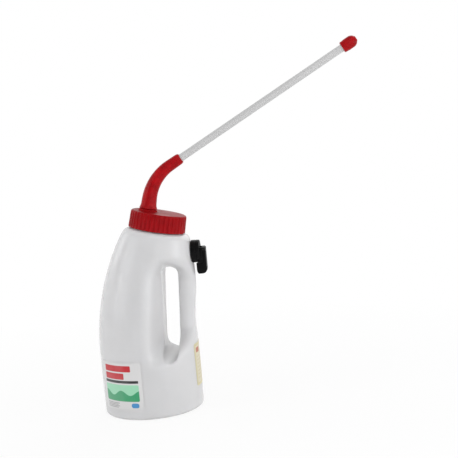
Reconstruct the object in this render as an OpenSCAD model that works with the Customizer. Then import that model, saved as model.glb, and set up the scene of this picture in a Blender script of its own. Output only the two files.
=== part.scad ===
// Livestock drencher: a four litre jug with a through-handle, a screw cap that carries a bent spout and
// a long probe tube, and a thumb-pressed air valve at the top of the handle.
// Origin at the centre of the base, +X towards the handle, +Z up, millimetres.

/* [Bottle] */
// Radius of the round base
base_r = 80; // [72:1:90]
// Fillet between the base and the wall
base_fillet = 5; // [3:0.5:9]
// Wall thickness of the bottle
wall = 2.2; // [1.6:0.1:3]
// Height at which the front starts to lean back
lean_start = 100; // [98:1:120]
// Radius of the arc in which the front leans back
lean_r = 364; // [340:2:420]
// Radius of the arc in which the two sides draw in
side_lean_r = 640; // [560:10:800]
// Drop from the cap's lower rim to where the front wall rounds into the shoulder
shoulder_front_drop = 2.5; // [1:0.5:10]
// Drop from the cap's lower rim to where the rear wall rounds into the shoulder
shoulder_rear_drop = 18.5; // [17:0.5:26]
// How far the rear swells out below the air valve
swell = 6.2; // [2:0.2:8]
// Drop from the valve's axis to the middle of the swelling
swell_drop = 28; // [20:1:36]
// Spread of the swelling up and down
swell_spread = 52; // [36:1:56]

/* [Neck] */
// Distance of the neck's middle from the rear of the base, along X
neck_in = 49.5; // [46:0.5:53]
// Height of the cap's lower rim centre
neck_z = 290.5; // [287:0.5:298]
// Tilt of the neck towards the handle, in degrees
neck_tilt = 13; // [8:0.5:15]
// Outer radius of the neck, without its thread
neck_r = 39; // [37:0.5:40]
// Wall of the neck
neck_wall = 3; // [2.4:0.1:4]
// Height of the neck's rim above the cap's lower rim
neck_h = 23; // [20:0.5:25]
// Gap between the cap's lower rim and the shoulder
shoulder_gap = 1.5; // [0.8:0.1:3]
// How far the shoulder's inner edge stands out from the neck
neck_flare = 2; // [1:0.5:3]

/* [Thread] */
// Rise in one turn
pitch = 6; // [5:0.25:7]
// Depth of the thread
thread_depth = 2; // [1.4:0.1:2.4]
// Width of a thread at its root
thread_root = 3; // [2:0.1:3.2]
// Width of a thread at its crest
thread_crest = 1.6; // [0.8:0.1:1.8]
// Turns of each thread
thread_turns = 1.25; // [0.75:0.25:1.5]
// Gap between a thread's crest and the wall that it faces
thread_gap = 0.6; // [0.4:0.1:1]

/* [Handle] */
// Distance of the finger gap's lower end from the rear of the base
gap_low_in = 40; // [36:0.5:44]
// Height of the finger gap's lower end above the ledge, at the centre of its round
gap_low_up = 18; // [16:0.5:28]
// Distance of the finger gap's upper end from the rear of the base
gap_high_in = 33; // [30:0.2:38]
// Drop from the valve's axis to the finger gap's upper end, at the centre of its round
gap_high_drop = 29.2; // [28:0.2:42]
// Half the width of the finger gap
gap_r = 12.2; // [10:0.2:13.2]
// Depth of the hollow round the finger gap, as a part of the half-width there
hollow_depth = 0.72; // [0.5:0.02:0.8]
// Spread of that hollow from the middle of the gap
hollow_spread = 18; // [12:0.5:20]
// Where the sides start to draw in to the handle, as a part of the half-length
waist_start = 0.1; // [0:0.02:0.2]
// Where they have drawn in
waist_end = 0.44; // [0.38:0.02:0.48]
// How far they draw in, as a part of the half-width
waist_depth = 0.62; // [0.5:0.02:0.68]
// Height of the ledge below the handle, at the sides
ledge_z = 78; // [74:1:84]
// Rise of that ledge towards the rear
ledge_rise = 27; // [8:1:28]
// Height over which the ledge blends in
ledge_blend = 35; // [24:1:40]
// Drop from the valve's axis to the brow above the handle, at the sides
brow_low = 38; // [28:1:40]
// Drop of that brow towards the rear
brow_drop = 12; // [0:1:16]
// Height over which the brow blends in
brow_blend = 42; // [30:1:46]

/* [Screw cap] */
// Thickness of the cap's wall at its lower rim, ribs included
cap_wall = 4.2; // [3.2:0.1:5]
// How much narrower the wall is at its top
cap_taper = 1; // [0:0.1:1.2]
// Thickness of the cap's top
cap_top = 3; // [2:0.1:4]
// Rounding of the cap's top edge
cap_round = 4; // [1.5:0.5:4.5]
// Number of grip ribs
rib_count = 40; // [24:2:60]
// How far a rib stands out of the wall
rib_out = 1.1; // [0.6:0.1:1.4]
// Radius of the round grooves between the ribs
groove_r = 3; // [2:0.1:4]
// Height of the plain band below the grooves
rib_inset = 1.2; // [0.5:0.1:3]
// Thickness of the sealing liner
liner_t = 1.5; // [1:0.1:2.5]
// Width of the sealing liner
liner_w = 5.6; // [4:0.1:6]

/* [Spout] */
// Gap between the spout's nut and the inside of the neck
spout_edge = 4.8; // [1:0.1:6]
// Radius of the spout at its foot
spout_foot_r = 13; // [11.5:0.25:13.5]
// Wall of the spout round its seal
mouth_wall = 1.1; // [0.8:0.1:2.5]
// Rounding of the spout's mouth
mouth_round = 2.5; // [1:0.1:2.6]
// Length over which that edge draws in
mouth_nose = 5.5; // [2.5:0.5:6]
// How early the spout gets thin, as a power
spout_taper = 1.5; // [1:0.1:2]
// Height of the bend's start above the cap
spout_rise = 19; // [10:1:30]
// Radius of the bend, along its centre line
bend_r = 78; // [60:1:100]
// Angle of the bend, in degrees
bend_angle = 48; // [36:1:60]
// Length of the channel between the bend and the tube's seat
socket_floor = 1.8; // [1:0.1:6]
// How much wider than the tube's bore the channel is in the bend
channel_over = 0.3; // [0:0.1:0.6]
// How much wider the channel is before and after the bend
channel_step = 0.4; // [0.2:0.1:0.6]
// How far the collar stands out round the spout's foot
collar_out = 2.2; // [1:0.1:4]
// Height of the collar
collar_h = 2.4; // [2:0.2:5]
// Radius of the threaded stub below the collar
stub_r = 10; // [8.5:0.25:10.5]
// Thickness of the washer under the collar
washer_t = 1; // [0.6:0.1:2]
// Height of the nut inside the cap
nut_h = 6; // [4:0.5:8]
// Least wall of that nut
nut_wall = 1.4; // [1.2:0.1:2]
// Gap round pieces that are put together by hand
fit_gap = 0.15; // [0.1:0.05:0.3]

/* [Probe] */
// Outer radius of the tube
tube_r = 6; // [5.6:0.1:6.4]
// Wall of the tube
tube_wall = 1.5; // [1:0.1:2]
// Length of the tube that shows between spout and tip
tube_show = 306; // [150:1:400]
// Depth of the tube in the spout
tube_in = 19; // [14:0.5:19.5]
// Radial gap of the sliding fits
slide_gap = 0.06; // [0.03:0.01:0.1]
// Gap between a sliding piece's end and its seat
seat_gap = 0.2; // [0.1:0.05:0.3]
// Thickness of the ring that seals the tube
seal_t = 1.6; // [1.4:0.1:2.2]
// Distance of that ring from the spout's mouth
seal_back = 8; // [5:0.5:11]
// Wall of the tip at its rear end
tip_wall = 3; // [2.2:0.1:4]
// How far the tip's bulb swells past its rear end
tip_swell = 0.6; // [0.2:0.1:3]
// Length of the tip past the tube's end
tip_nose = 10.8; // [10:0.2:20]
// Rounding of the tip's rear edge
tip_lip = 1.5; // [0.8:0.1:2]
// Depth of the tube in the tip
tip_in = 15; // [12:0.5:18]
// Radius of the outlet
outlet_r = 3.6; // [2:0.1:4]

/* [Air valve] */
// Distance of the boss's face from the rear of the base
boss_step = 2; // [1:0.5:3]
// Drop from the cap's lower rim to the valve's axis
valve_drop = 40.5; // [40:0.5:46]
// How far the boss stands out round the valve body
boss_edge = 1; // [0.5:0.1:2]
// Thickness of the boss
boss_t = 3.6; // [3:0.1:5]
// Radius of the valve body
housing_r = 18.2; // [17:0.1:18.4]
// Depth of the valve body
housing_t = 13.5; // [12.5:0.5:15]
// Thickness of the gasket behind the valve body
gasket_t = 1.5; // [1:0.1:2.5]
// Least wall of the threaded stub through the boss
vent_stub_wall = 1.4; // [1:0.1:2.4]
// Reach of that stub past the inside of the boss
vent_stub_l = 7; // [6:0.5:10]
// Thickness of the nut inside the bottle
vent_nut_t = 4.5; // [3:0.5:5.5]
// Least wall of that nut
vent_nut_wall = 3; // [2:0.1:4]
// Drop of the stem below the valve's axis
stem_drop = 4; // [3:0.25:4.4]
// Radius of the stem
stem_r = 2; // [1.5:0.1:2.4]
// Radius of the air passage round the stem
air_r = 3.6; // [3:0.1:4]
// Width of the valve head's seat round the air passage
head_seat = 1.6; // [1.2:0.1:2.4]
// Thickness of the valve head
head_t = 2; // [1.5:0.1:3]
// Thickness of the ring on the valve head
vent_seal_t = 1.4; // [1:0.1:2]
// Width of the spring's seat round the air passage
spring_seat = 2; // [1.6:0.1:2.4]
// Thickness of that seat
seat_t = 2.5; // [2:0.1:4]
// Thickness of the spring cap
button_t = 3; // [2.5:0.1:4]
// How far the spring cap stands out of the valve body
button_out = 1.4; // [1:0.1:1.6]
// Thickness of the spring's wire
wire_d = 0.8; // [0.5:0.05:0.9]
// Turns of the spring
spring_turns = 5; // [3:0.5:5]
// Gap between the spring and the wall of its chamber
spring_gap = 0.8; // [0.4:0.1:1.2]

/* [Thumb lever] */
// Width of the lever
lever_w = 18; // [14:0.5:20]
// Thickness of the lever
lever_t = 6.4; // [6:0.1:9]
// Gap between the lever and the face of the valve body
lever_gap = 2.6; // [2.5:0.1:3]
// Room for the lever's stroke, between its lower end and the swelling behind it
lever_room = 3.6; // [3.5:0.1:6]
// Height of the lever's top above the valve's axis
lever_top = 6.4; // [6.2:0.1:9]
// Reach of the lever below the valve's axis
lever_low = 36; // [33:0.5:37]
// Rounding of the lever's lower outer corner
lever_round = 8; // [5:0.5:10]
// Bevel of the lever's lower inner corner, inwards
bevel_in = 2.3; // [1.5:0.1:4]
// Bevel of that corner, upwards
bevel_up = 4.5; // [3:0.1:6]
// Gap between the valve body and the lever's hollow below it
step_gap = 1.9; // [1.7:0.1:3]
// Depth of the relief in the lever's back, over the valve body
lever_relief = 0.3; // [0.1:0.1:0.6]
// Height of the pivot above the valve's axis
pivot_up = 3.4; // [3:0.1:3.6]
// Radius of the pivot pin
pin_r = 1.5; // [1:0.1:1.6]
// Radius of the ears round the pin
ear_r = 3; // [2.8:0.1:3.4]
// Thickness of the two ears
ear_t = 3; // [2:0.1:4]
// Gap between the lever and each ear
ear_gap = 0.4; // [0.2:0.1:0.8]
// Reach of the cheeks below the ears, from the valve's axis
cheek_low = 17.5; // [10:0.5:18]
// How far the cheeks overlap the sides of the lever
cheek_over = 1.2; // [0.5:0.1:2]
// Radius of the nose with which the lever pushes the stem
nose_r = 2.5; // [2:0.1:3]

/* [Labels] */
// Thickness of a label
label_t = 0.25; // [0.2:0.05:0.4]
// Gap between a label and the bottle
label_gap = 0.1; // [0.05:0.05:0.2]
// Height of the front label's lower edge
front_low = 17; // [10:1:19]
// Height of the front label
front_h = 76; // [40:1:80]
// Middle of the front label, in degrees from the front towards the left side
front_mid = 58; // [40:1:80]
// Span of the front label, in degrees
front_span = 58; // [40:1:70]
// Rise of the rear label's upper edge above the ledge at the sides
rear_up = 26; // [10:1:28]
// Height of the rear label
rear_h = 68; // [40:1:80]
// Span of the rear label, in degrees
rear_span = 40; // [24:1:46]

/* [Hidden] */
white = [0.85, 0.85, 0.85];
red = [0.64, 0.09, 0.11];
black = [0.09, 0.09, 0.09];
pale = [0.82, 0.83, 0.83];
rubber = [0.2, 0.2, 0.2];
steel = [0.7, 0.7, 0.72];
yellow = [0.86, 0.83, 0.62];
// Overshoot of a cut past the face that it opens
over = 1;
$fn = 64;

// Fitted radii and heights, each from the two pieces that meet there
neck_x = base_r - neck_in;
valve_z = neck_z - valve_drop;
shoulder_front_z = neck_z - shoulder_front_drop;
shoulder_rear_z = neck_z - shoulder_rear_drop;
swell_z = valve_z - swell_drop;
brow_z = valve_z - brow_low;
gap_low = [base_r - gap_low_in, ledge_z + gap_low_up];
gap_high = [base_r - gap_high_in, valve_z - gap_high_drop];
neck_in_r = neck_r - neck_wall;
neck_foot_r = neck_r + neck_flare;
cap_in_r = neck_r + thread_depth + thread_gap;
cap_r = cap_in_r + cap_wall;
cap_in_h = neck_h + liner_t;
cap_h = cap_in_h + cap_top;
thread_low = thread_root;
socket_r = tube_r + slide_gap;
socket_l = tube_in + seat_gap + socket_floor;
channel_r = tube_r - tube_wall + channel_over;
spout_mouth_r = socket_r + seal_t + fit_gap + mouth_wall;
collar_r = spout_foot_r + collar_out;
nut_r = (stub_r + fit_gap + nut_wall) / cos(30);
spout_off = neck_in_r - nut_r - spout_edge;
tip_rear_r = socket_r + tip_wall;
tip_r = tip_rear_r + tip_swell;
tip_l = tip_in + seat_gap + tip_nose;
stub_low = cap_in_h - nut_h - washer_t;
bend_start = cap_h + spout_rise;
spout_start = cap_h + washer_t;
bend_length = bend_r * bend_angle * PI / 180;
boss_x = base_r + boss_step;
boss_r = housing_r + boss_edge;
vent_stub_r = stem_drop + air_r + vent_stub_wall;
vent_nut_r = (vent_stub_r + fit_gap + vent_nut_wall) / cos(30);
head_r = air_r + head_seat;
chamber_r = air_r + spring_seat;
chamber_t = housing_t - seat_t;
valve_face = gasket_t + housing_t;
stub_end = -boss_t - vent_stub_l;
button_face = valve_face + button_out;
lever_face = valve_face + lever_gap;
lever_out = lever_face + lever_t;
lever_in = swell - boss_step + lever_room;
pivot_out = (lever_face + lever_out) / 2;

// Smooth step from 0 to 1 as v runs from lo to hi
function ease(lo, hi, v) = let (u = min(1, max(0, (v - lo) / (hi - lo)))) u * u * (3 - 2 * u);
// How far an arc of radius r has drawn in, d past its start
function drawn_in(r, d) = d <= 0 ? 0 : r - sqrt(r * r - d * d);
function bell(d, spread) = exp(-pow(d / spread, 2));
function unit(v) = v / norm(v);
// Point at u on a curve from p0 to p2 that leaves and arrives in line with p1
function curve(p0, p1, p2, u) = (1 - u) * (1 - u) * p0 + 2 * u * (1 - u) * p1 + u * u * p2;

// Closed skin over rings of points, each ring counter-clockwise as seen from the last one
module skin(rings) {
    n = len(rings[0]);
    m = len(rings);
    sides = [for (i = [0:m - 2], k = [0:n - 1])
        let (a = i * n + k, b = i * n + (k + 1) % n)
        each [[a, a + n, b + n], [a, b + n, b]]];
    ends = [[for (k = [0:n - 1]) k], [for (k = [n - 1:-1:0]) (m - 1) * n + k]];
    polyhedron([for (r = rings) each r], concat(sides, ends));
}

// Frames of the neck, of the tube beyond the spout's mouth, and of the air valve
module in_neck() translate([neck_x, 0, neck_z]) rotate([0, neck_tilt, 0]) children();
spout_mouth = spout_path(spout_length());
module in_tube() in_neck() translate(spout_mouth) rotate([0, bend_angle, 0]) children();
module in_valve() translate([boss_x, 0, valve_z]) rotate([0, 90, 0]) children();
module in_stem() in_valve() translate([stem_drop, 0, 0]) children();

// Outlines of the body: front and rear points in X and Z, and the half-width in Y
neck_axis = [sin(neck_tilt), cos(neck_tilt)];
neck_across = [cos(neck_tilt), -sin(neck_tilt)];
function neck_point(r, h) = [neck_x, neck_z] + r * neck_across + h * neck_axis;
function front_at(z) = [-base_r + drawn_in(lean_r, z - lean_start), z];
function rear_at(z) = [base_r + swell * bell(z - swell_z, swell_spread), z];
function half_width(z) = base_r - drawn_in(side_lean_r, z - lean_start);
// Where the wall at p, rising along dir, would meet the plane of the shoulder
function shoulder_corner(p, dir) =
    p + dir * ((-shoulder_gap - (p - [neck_x, neck_z]) * neck_axis) / (dir * neck_axis));

// A station is a level of the body: [front point, rear point, half-width]
shoulder_mean = (shoulder_front_z + shoulder_rear_z) / 2;
function wall_station(z) = let (h = z / shoulder_mean)
    [front_at(h * shoulder_front_z), rear_at(h * shoulder_rear_z), half_width(z)];
function fillet_station(a) = let (r = base_r - base_fillet * (1 - sin(a)), z = base_fillet * (1 - cos(a)))
    [[-r, z], [r, z], r];
function shoulder_station(u) = let (
    top = wall_station(shoulder_mean),
    below = wall_station(shoulder_mean - 1),
    front_corner = shoulder_corner(top[0], unit(top[0] - below[0])),
    rear_corner = shoulder_corner(top[1], unit(top[1] - below[1])),
    side_corner = norm(front_corner - rear_corner) / 2)
    [curve(top[0], front_corner, neck_point(-neck_foot_r, -shoulder_gap), u),
     curve(top[1], rear_corner, neck_point(neck_foot_r, -shoulder_gap), u),
     curve(top[2], side_corner, neck_foot_r, u)];
// Levels are closer together where the handle's ledge and brow blend in
blend_steps = 5;
ledge_top = ledge_z + ledge_blend;
brow_top = brow_z + brow_blend;
handle_mid = (ledge_top + brow_z) / 2;
levels = concat(
    [for (i = [1:4]) base_fillet + i * (ledge_z - base_fillet) / 5],
    [for (i = [0:blend_steps]) ledge_z + i * ledge_blend / blend_steps],
    [for (i = [1:8]) handle_mid - (brow_z - handle_mid) * cos(i * 180 / 9)],
    [for (i = [0:blend_steps]) brow_z + i * brow_blend / blend_steps],
    [for (i = [1:2]) brow_top + i * (shoulder_mean - brow_top) / 3]);
stations = concat([for (a = [0:30:90]) fillet_station(a)],
    [for (z = levels) wall_station(z)],
    [for (i = [0:5]) shoulder_station(i / 5)]);

// Places along a level, from the rear (1) to the front (-1), closer where the sides draw in
function places(front_steps) = concat([for (a = [0:10:60]) cos(a)],
    [for (i = [0:5]) waist_end + i * (waist_start - waist_end) / 5],
    [for (i = [1:front_steps]) cos(90 + i * 90 / front_steps)]);
// How far a level rises at place s towards the rear, along the ledge, and drops, along the brow
function rise(s, z) = pow(max(0, s), 2) * (
    ledge_rise * ease(2 * base_fillet, ledge_z, z) * (1 - ease(ledge_top, handle_mid, z))
    - brow_drop * ease(handle_mid, brow_z, z) * (1 - ease(brow_top, shoulder_mean, z)));
// Distance of the point p, in X and Z, from the middle line of the finger gap
gap_run = gap_high - gap_low;
function gap_part(p) = min(1, max(0, (p - gap_low) * gap_run / (gap_run * gap_run)));
function gap_distance(p) = norm(p - gap_low - gap_part(p) * gap_run);
// How much of the half-width is left at place s of the level z, for the point p
function kept(s, z, p) = let (handle = ease(ledge_z, ledge_top, z) * (1 - ease(brow_z, brow_top, z)))
    (1 - waist_depth * handle * ease(waist_start, waist_end, s))
    * (1 - hollow_depth * handle * bell(gap_distance(p), hollow_spread));
function wall_point(st, s, side) = let (
    flat = (st[0] + st[1]) / 2 + s * (st[1] - st[0]) / 2,
    p = flat + [0, rise(s, flat[1])])
    [p[0], side * st[2] * sqrt(max(0, 1 - s * s)) * kept(s, flat[1], p), p[1]];
function level_ring(st, along) = concat(
    [for (s = along) wall_point(st, s, 1)],
    [for (i = [len(along) - 2:-1:1]) wall_point(st, along[i], -1)]);
function body_rings(front_steps) = let (along = places(front_steps))
    [for (st = stations) level_ring(st, along)];
// The same rings moved inwards, square to the wall, by d
function inset_rings(g, d) = let (m = len(g) - 1, n = len(g[0]))
    [for (i = [0:m]) [for (k = [0:n - 1]) let (
    round_step = g[i][(k + 1) % n] - g[i][(k + n - 1) % n],
    up_step = g[min(i + 1, m)][k] - g[max(i - 1, 0)][k])
    g[i][k] - d * unit(cross(round_step, up_step))]];

// Finger gap through the handle, grown by extra
module finger_gap(extra) hull() for (p = [gap_low, gap_high])
    translate([p[0], 0, p[1]]) rotate([90, 0, 0])
    cylinder(r = gap_r + extra, h = 3 * base_r, center = true, $fn = 40);

// Threads: steps of so many degrees, run in over the first and last steps, sunk a little in their wall
thread_step = 12;
thread_steps = thread_turns * 360 / thread_step;
thread_run_in = 3;
thread_least = 0.05;
thread_sink = 0.5;
slice_t = 0.02;
function thread_rise(i) = thread_low + pitch * i * thread_step / 360;
function thread_part(i) = max(thread_least, min(1, i / thread_run_in, (thread_steps - i) / thread_run_in));
// One slice of a thread, at angle a and depth d, on a wall of radius r
module thread_slice(a, z, r, d) rotate([90, 0, a]) translate([r, z, 0]) linear_extrude(slice_t)
    polygon([[-thread_sink, -thread_root / 2], [d, -thread_crest / 2],
        [d, thread_crest / 2], [-thread_sink, thread_root / 2]]);
module neck_thread() for (i = [0:thread_steps - 1]) hull() for (j = [i, i + 1])
    thread_slice(j * thread_step, thread_rise(j) + pitch / 2, neck_r, thread_depth * thread_part(j));

module bottle_cavity() difference() {
    union() {
        skin(inset_rings(body_rings(6), wall));
        in_neck() translate([0, 0, -shoulder_gap - 2 * wall])
            cylinder(r = neck_in_r, h = shoulder_gap + 2 * wall + neck_h + over);
    }
    finger_gap(wall);
    in_valve() translate([0, 0, -boss_t]) cylinder(r = boss_r + fit_gap + wall, h = boss_t + housing_t);
}
module bottle() color(white) difference() {
    union() {
        skin(body_rings(11));
        in_neck() translate([0, 0, -shoulder_gap - wall / 2])
            cylinder(r = neck_r, h = shoulder_gap + wall / 2 + neck_h);
        in_neck() neck_thread();
        in_valve() translate([0, 0, -boss_r]) cylinder(r1 = vent_stub_r, r2 = boss_r, h = boss_r);
    }
    finger_gap(0);
    bottle_cavity();
    in_valve() cylinder(r = boss_r + fit_gap, h = housing_t);
    in_valve() translate([0, 0, -boss_t - over])
        cylinder(r = vent_stub_r + 2 * fit_gap, h = boss_t + 2 * over);
}

// Screw cap: wall and top, grip ribs, inner thread and the hole for the spout
cap_round_steps = 4;
function cap_wall_r(z) = cap_r - cap_taper * z / (cap_h - cap_round);
module cap_shell() rotate_extrude($fn = 128) polygon(concat(
    [[0, cap_in_h], [cap_in_r, cap_in_h], [cap_in_r, 0], [cap_r, 0]],
    [for (i = [0:cap_round_steps]) let (a = i * 90 / cap_round_steps)
        [cap_wall_r(cap_h - cap_round) - cap_round * (1 - cos(a)), cap_h - cap_round * (1 - sin(a))]],
    [[0, cap_h]]));
module cap_grooves() for (i = [0:rib_count - 1]) rotate([0, 0, i * 360 / rib_count])
    translate([cap_r - rib_out + groove_r, 0, rib_inset])
    rotate([0, -atan(cap_taper / (cap_h - cap_round)), 0]) cylinder(r = groove_r, h = cap_h, $fn = 32);
module cap_thread() skin([for (i = [0:thread_steps]) let (
    a = i * thread_step,
    z = thread_rise(i),
    crest = cap_in_r - thread_depth * thread_part(i),
    root = cap_in_r + thread_sink)
    [for (p = [[crest, thread_crest], [root, thread_root], [root, -thread_root], [crest, -thread_crest]])
        [p[0] * cos(a), p[0] * sin(a), z + p[1] / 2]]]);
module screw_cap() color(red) in_neck() difference() {
    union() {
        cap_shell();
        cap_thread();
    }
    cap_grooves();
    translate([-spout_off, 0, cap_in_h - over]) cylinder(r = stub_r + fit_gap, h = cap_top + 2 * over);
}
module ring(r_in, r_out, h) difference() {
    cylinder(r = r_out, h = h);
    translate([0, 0, -over]) cylinder(r = r_in, h = h + 2 * over);
}
module cap_liner() color(pale) in_neck() translate([0, 0, neck_h])
    ring(cap_in_r - fit_gap - liner_w, cap_in_r - fit_gap, liner_t);

// Spout: a tapering bent pipe on a collar, with a threaded stub below it and a socket at its mouth
function spout_length() = bend_start - spout_start + bend_length + socket_l;
// Angle and point of the spout's centre line, d along it from the foot
function spout_turn(d) = min(bend_angle, max(0, (d - (bend_start - spout_start)) * 180 / (PI * bend_r)));
function spout_path(d) = let (
    a = spout_turn(d),
    rise = min(d, bend_start - spout_start),
    reach = max(0, d - (bend_start - spout_start) - bend_length))
    [-spout_off + bend_r * (1 - cos(a)) + reach * sin(a), 0,
     spout_start + rise + bend_r * sin(a) + reach * cos(a)];
function spout_r(d) = spout_mouth_r
    + (spout_foot_r - spout_mouth_r) * pow(1 - d / spout_length(), spout_taper);
bend_steps = 12;
spout_sides = 28;
// Each ring of the spout is [distance along it, radius]
spout_rings = concat(
    [for (d = [0, (bend_start - spout_start) / 2]) [d, spout_r(d)]],
    [for (i = [0:bend_steps]) let (d = bend_start - spout_start + i * bend_length / bend_steps)
        [d, spout_r(d)]],
    [for (a = [0:30:90])
        [spout_length() - mouth_nose * (1 - sin(a)), spout_mouth_r - mouth_round * (1 - cos(a))]]);
module spout_pipe() skin([for (r = spout_rings) let (c = spout_path(r[0]), a = spout_turn(r[0]))
    [for (k = [0:spout_sides - 1]) let (t = k * 360 / spout_sides)
        c + r[1] * [cos(t) * cos(a), sin(t), -cos(t) * sin(a)]]]);
module spout_elbow() color(red) difference() {
    in_neck() union() {
        spout_pipe();
        translate([-spout_off, 0, spout_start]) cylinder(r = collar_r, h = collar_h);
        translate([-spout_off, 0, stub_low]) cylinder(r = stub_r, h = spout_start - stub_low);
    }
    in_neck() {
        translate([-spout_off, 0, stub_low - over])
            cylinder(r = channel_r + channel_step, h = bend_start - stub_low + over + channel_step);
        translate([bend_r - spout_off, 0, bend_start]) rotate([90, 0, 0]) rotate([0, 0, 180 - bend_angle])
            rotate_extrude(angle = bend_angle) translate([bend_r, 0]) circle(r = channel_r);
    }
    in_tube() {
        translate([0, 0, -socket_l - channel_step])
            cylinder(r = channel_r + channel_step, h = socket_l);
        translate([0, 0, -tube_in - seat_gap]) cylinder(r = socket_r, h = tube_in + seat_gap + over);
        translate([0, 0, -seal_back - seal_t / 2 - fit_gap])
            cylinder(r = socket_r + seal_t + fit_gap, h = seal_t + 2 * fit_gap);
    }
}
module spout_washer() color(rubber) in_neck() translate([-spout_off, 0, cap_h])
    ring(stub_r + fit_gap, collar_r - washer_t, washer_t);
module spout_nut() color(red) in_neck() translate([-spout_off, 0, cap_in_h - nut_h]) difference() {
    cylinder(r = nut_r, h = nut_h, $fn = 6);
    translate([0, 0, -over]) cylinder(r = stub_r + fit_gap, h = nut_h + 2 * over);
}
module tube_seal() color(rubber) in_tube() translate([0, 0, -seal_back])
    rotate_extrude() translate([socket_r + seal_t / 2, 0]) circle(d = seal_t, $fn = 24);

// Probe: straight tube with a bulb pushed on its end
module probe_tube() color(pale) in_tube() translate([0, 0, -tube_in])
    ring(tube_r - tube_wall, tube_r, tube_in + tube_show + tip_in);
tip_steps = 6;
module probe_tip() color(red) in_tube() translate([0, 0, tube_show]) difference() {
    rotate_extrude() polygon(concat(
        [[0, 0], [tip_rear_r - tip_lip, 0], [tip_rear_r, tip_lip]],
        [[tip_r, tip_l / 3], [tip_r, tip_l - tip_r]],
        [for (i = [1:tip_steps]) let (a = i * 90 / tip_steps)
            [tip_r * cos(a), tip_l - tip_r * (1 - sin(a))]]));
    translate([0, 0, -over]) cylinder(r = socket_r, h = tip_in + seat_gap + over);
    cylinder(r = outlet_r, h = tip_l + over);
}

// Air valve: body with a threaded stub, gasket and nut, and a sprung stem that a thumb lever pushes in
module vent_gasket() color(rubber) in_valve() ring(vent_stub_r + fit_gap, housing_r - gasket_t, gasket_t);
module ear(side) translate([-pivot_up, side * (lever_w / 2 + ear_gap + ear_t / 2), 0]) {
    translate([-ear_r, -ear_t / 2, valve_face - over])
        cube([2 * ear_r, ear_t, pivot_out - valve_face + over]);
    translate([0, 0, pivot_out]) rotate([90, 0, 0]) cylinder(r = ear_r, h = ear_t, center = true);
    translate([0, -ear_t / 2, valve_face - over])
        cube([pivot_up + cheek_low, ear_t, over + lever_gap + cheek_over]);
}
module pivot_bore() translate([-pivot_up, 0, pivot_out]) rotate([90, 0, 0])
    cylinder(r = pin_r + slide_gap, h = 2 * housing_r, center = true);
module vent_housing() color(black) in_valve() difference() {
    union() {
        translate([0, 0, gasket_t]) cylinder(r = housing_r, h = housing_t);
        translate([0, 0, stub_end]) cylinder(r = vent_stub_r, h = gasket_t - stub_end + over);
        ear(1);
        ear(-1);
    }
    translate([stem_drop, 0, stub_end - over]) cylinder(r = air_r, h = valve_face - stub_end + 2 * over);
    translate([stem_drop, 0, valve_face - chamber_t]) cylinder(r = chamber_r, h = chamber_t + over);
    pivot_bore();
}
module vent_nut() color(black) in_valve() translate([0, 0, -boss_t - vent_nut_t]) difference() {
    cylinder(r = vent_nut_r, h = vent_nut_t, $fn = 6);
    translate([0, 0, -over]) cylinder(r = vent_stub_r + fit_gap, h = vent_nut_t + 2 * over);
}
head_face = stub_end - slide_gap - vent_seal_t;
button_back = button_face - button_t;
stem_grip = button_t / 2;
module vent_plunger() color(pale) in_stem() {
    translate([0, 0, head_face - head_t]) cylinder(r = head_r, h = head_t);
    translate([0, 0, head_face]) cylinder(r = stem_r, h = button_back + stem_grip - head_face);
}
module vent_seal() color(rubber) in_stem() translate([0, 0, head_face])
    ring(stem_r + slide_gap, head_r - fit_gap, vent_seal_t);
module vent_button() color(black) in_stem() translate([0, 0, button_back]) difference() {
    cylinder(r = chamber_r - slide_gap, h = button_t);
    translate([0, 0, -over]) cylinder(r = stem_r + slide_gap, h = stem_grip + slide_gap + over);
}
// Spring: one round wire wound between the chamber's floor and the spring cap
spring_low = valve_face - chamber_t + fit_gap + wire_d / 2;
spring_high = button_back - fit_gap - wire_d / 2;
spring_r = chamber_r - spring_gap - wire_d / 2;
coil_steps = 12;
wire_sides = 6;
coil_gap = (spring_high - spring_low) / spring_turns - wire_d;
echo(gap_between_spring_turns = coil_gap);
module vent_spring() color(steel) in_stem() skin([for (i = [0:spring_turns * coil_steps]) let (
    a = i * 360 / coil_steps, z = spring_low + i * (spring_high - spring_low) / (spring_turns * coil_steps))
    [for (k = [0:wire_sides - 1]) let (t = k * 360 / wire_sides, r = spring_r + wire_d / 2 * sin(t))
        [r * cos(a), r * sin(a), z + wire_d / 2 * cos(t)]]]);
module vent_pin() color(steel) in_valve() translate([-pivot_up, 0, pivot_out]) rotate([90, 0, 0])
    cylinder(r = pin_r, h = lever_w + 2 * (ear_gap + ear_t), center = true);

// Thumb lever: its outline, out from the boss and up from the valve's axis, drawn through its width, with
// a hollow that goes round the valve body
step_v = -sqrt(pow(housing_r + step_gap, 2) - pow(lever_w / 2, 2));
module lever_outline() difference() {
    union() {
        translate([lever_face, step_v]) square([lever_out - lever_face, lever_top - step_v]);
        intersection() {
            translate([lever_in, -lever_low]) square([lever_out - lever_in, lever_low + step_v]);
            union() {
                translate([lever_out - lever_round, lever_round - lever_low]) circle(r = lever_round);
                translate([lever_in, -lever_low]) square([lever_out - lever_round - lever_in, lever_low]);
                translate([lever_in, lever_round - lever_low]) square([lever_out - lever_in, lever_low]);
            }
        }
    }
    translate([lever_in, -lever_low])
        polygon([[-bevel_in, 2 * bevel_up], [-bevel_in, -bevel_up], [2 * bevel_in, -bevel_up]]);
}
module across_lever() translate([boss_x, 0, valve_z]) rotate([90, 0, 0])
    linear_extrude(lever_w, center = true) children();
module vent_lever() color(black) difference() {
    union() {
        difference() {
            across_lever() lever_outline();
            in_valve() cylinder(r = housing_r + step_gap, h = lever_face + lever_relief);
        }
        across_lever() translate([button_face + seat_gap + nose_r, -stem_drop]) circle(r = nose_r);
    }
    in_valve() pivot_bore();
}

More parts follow.
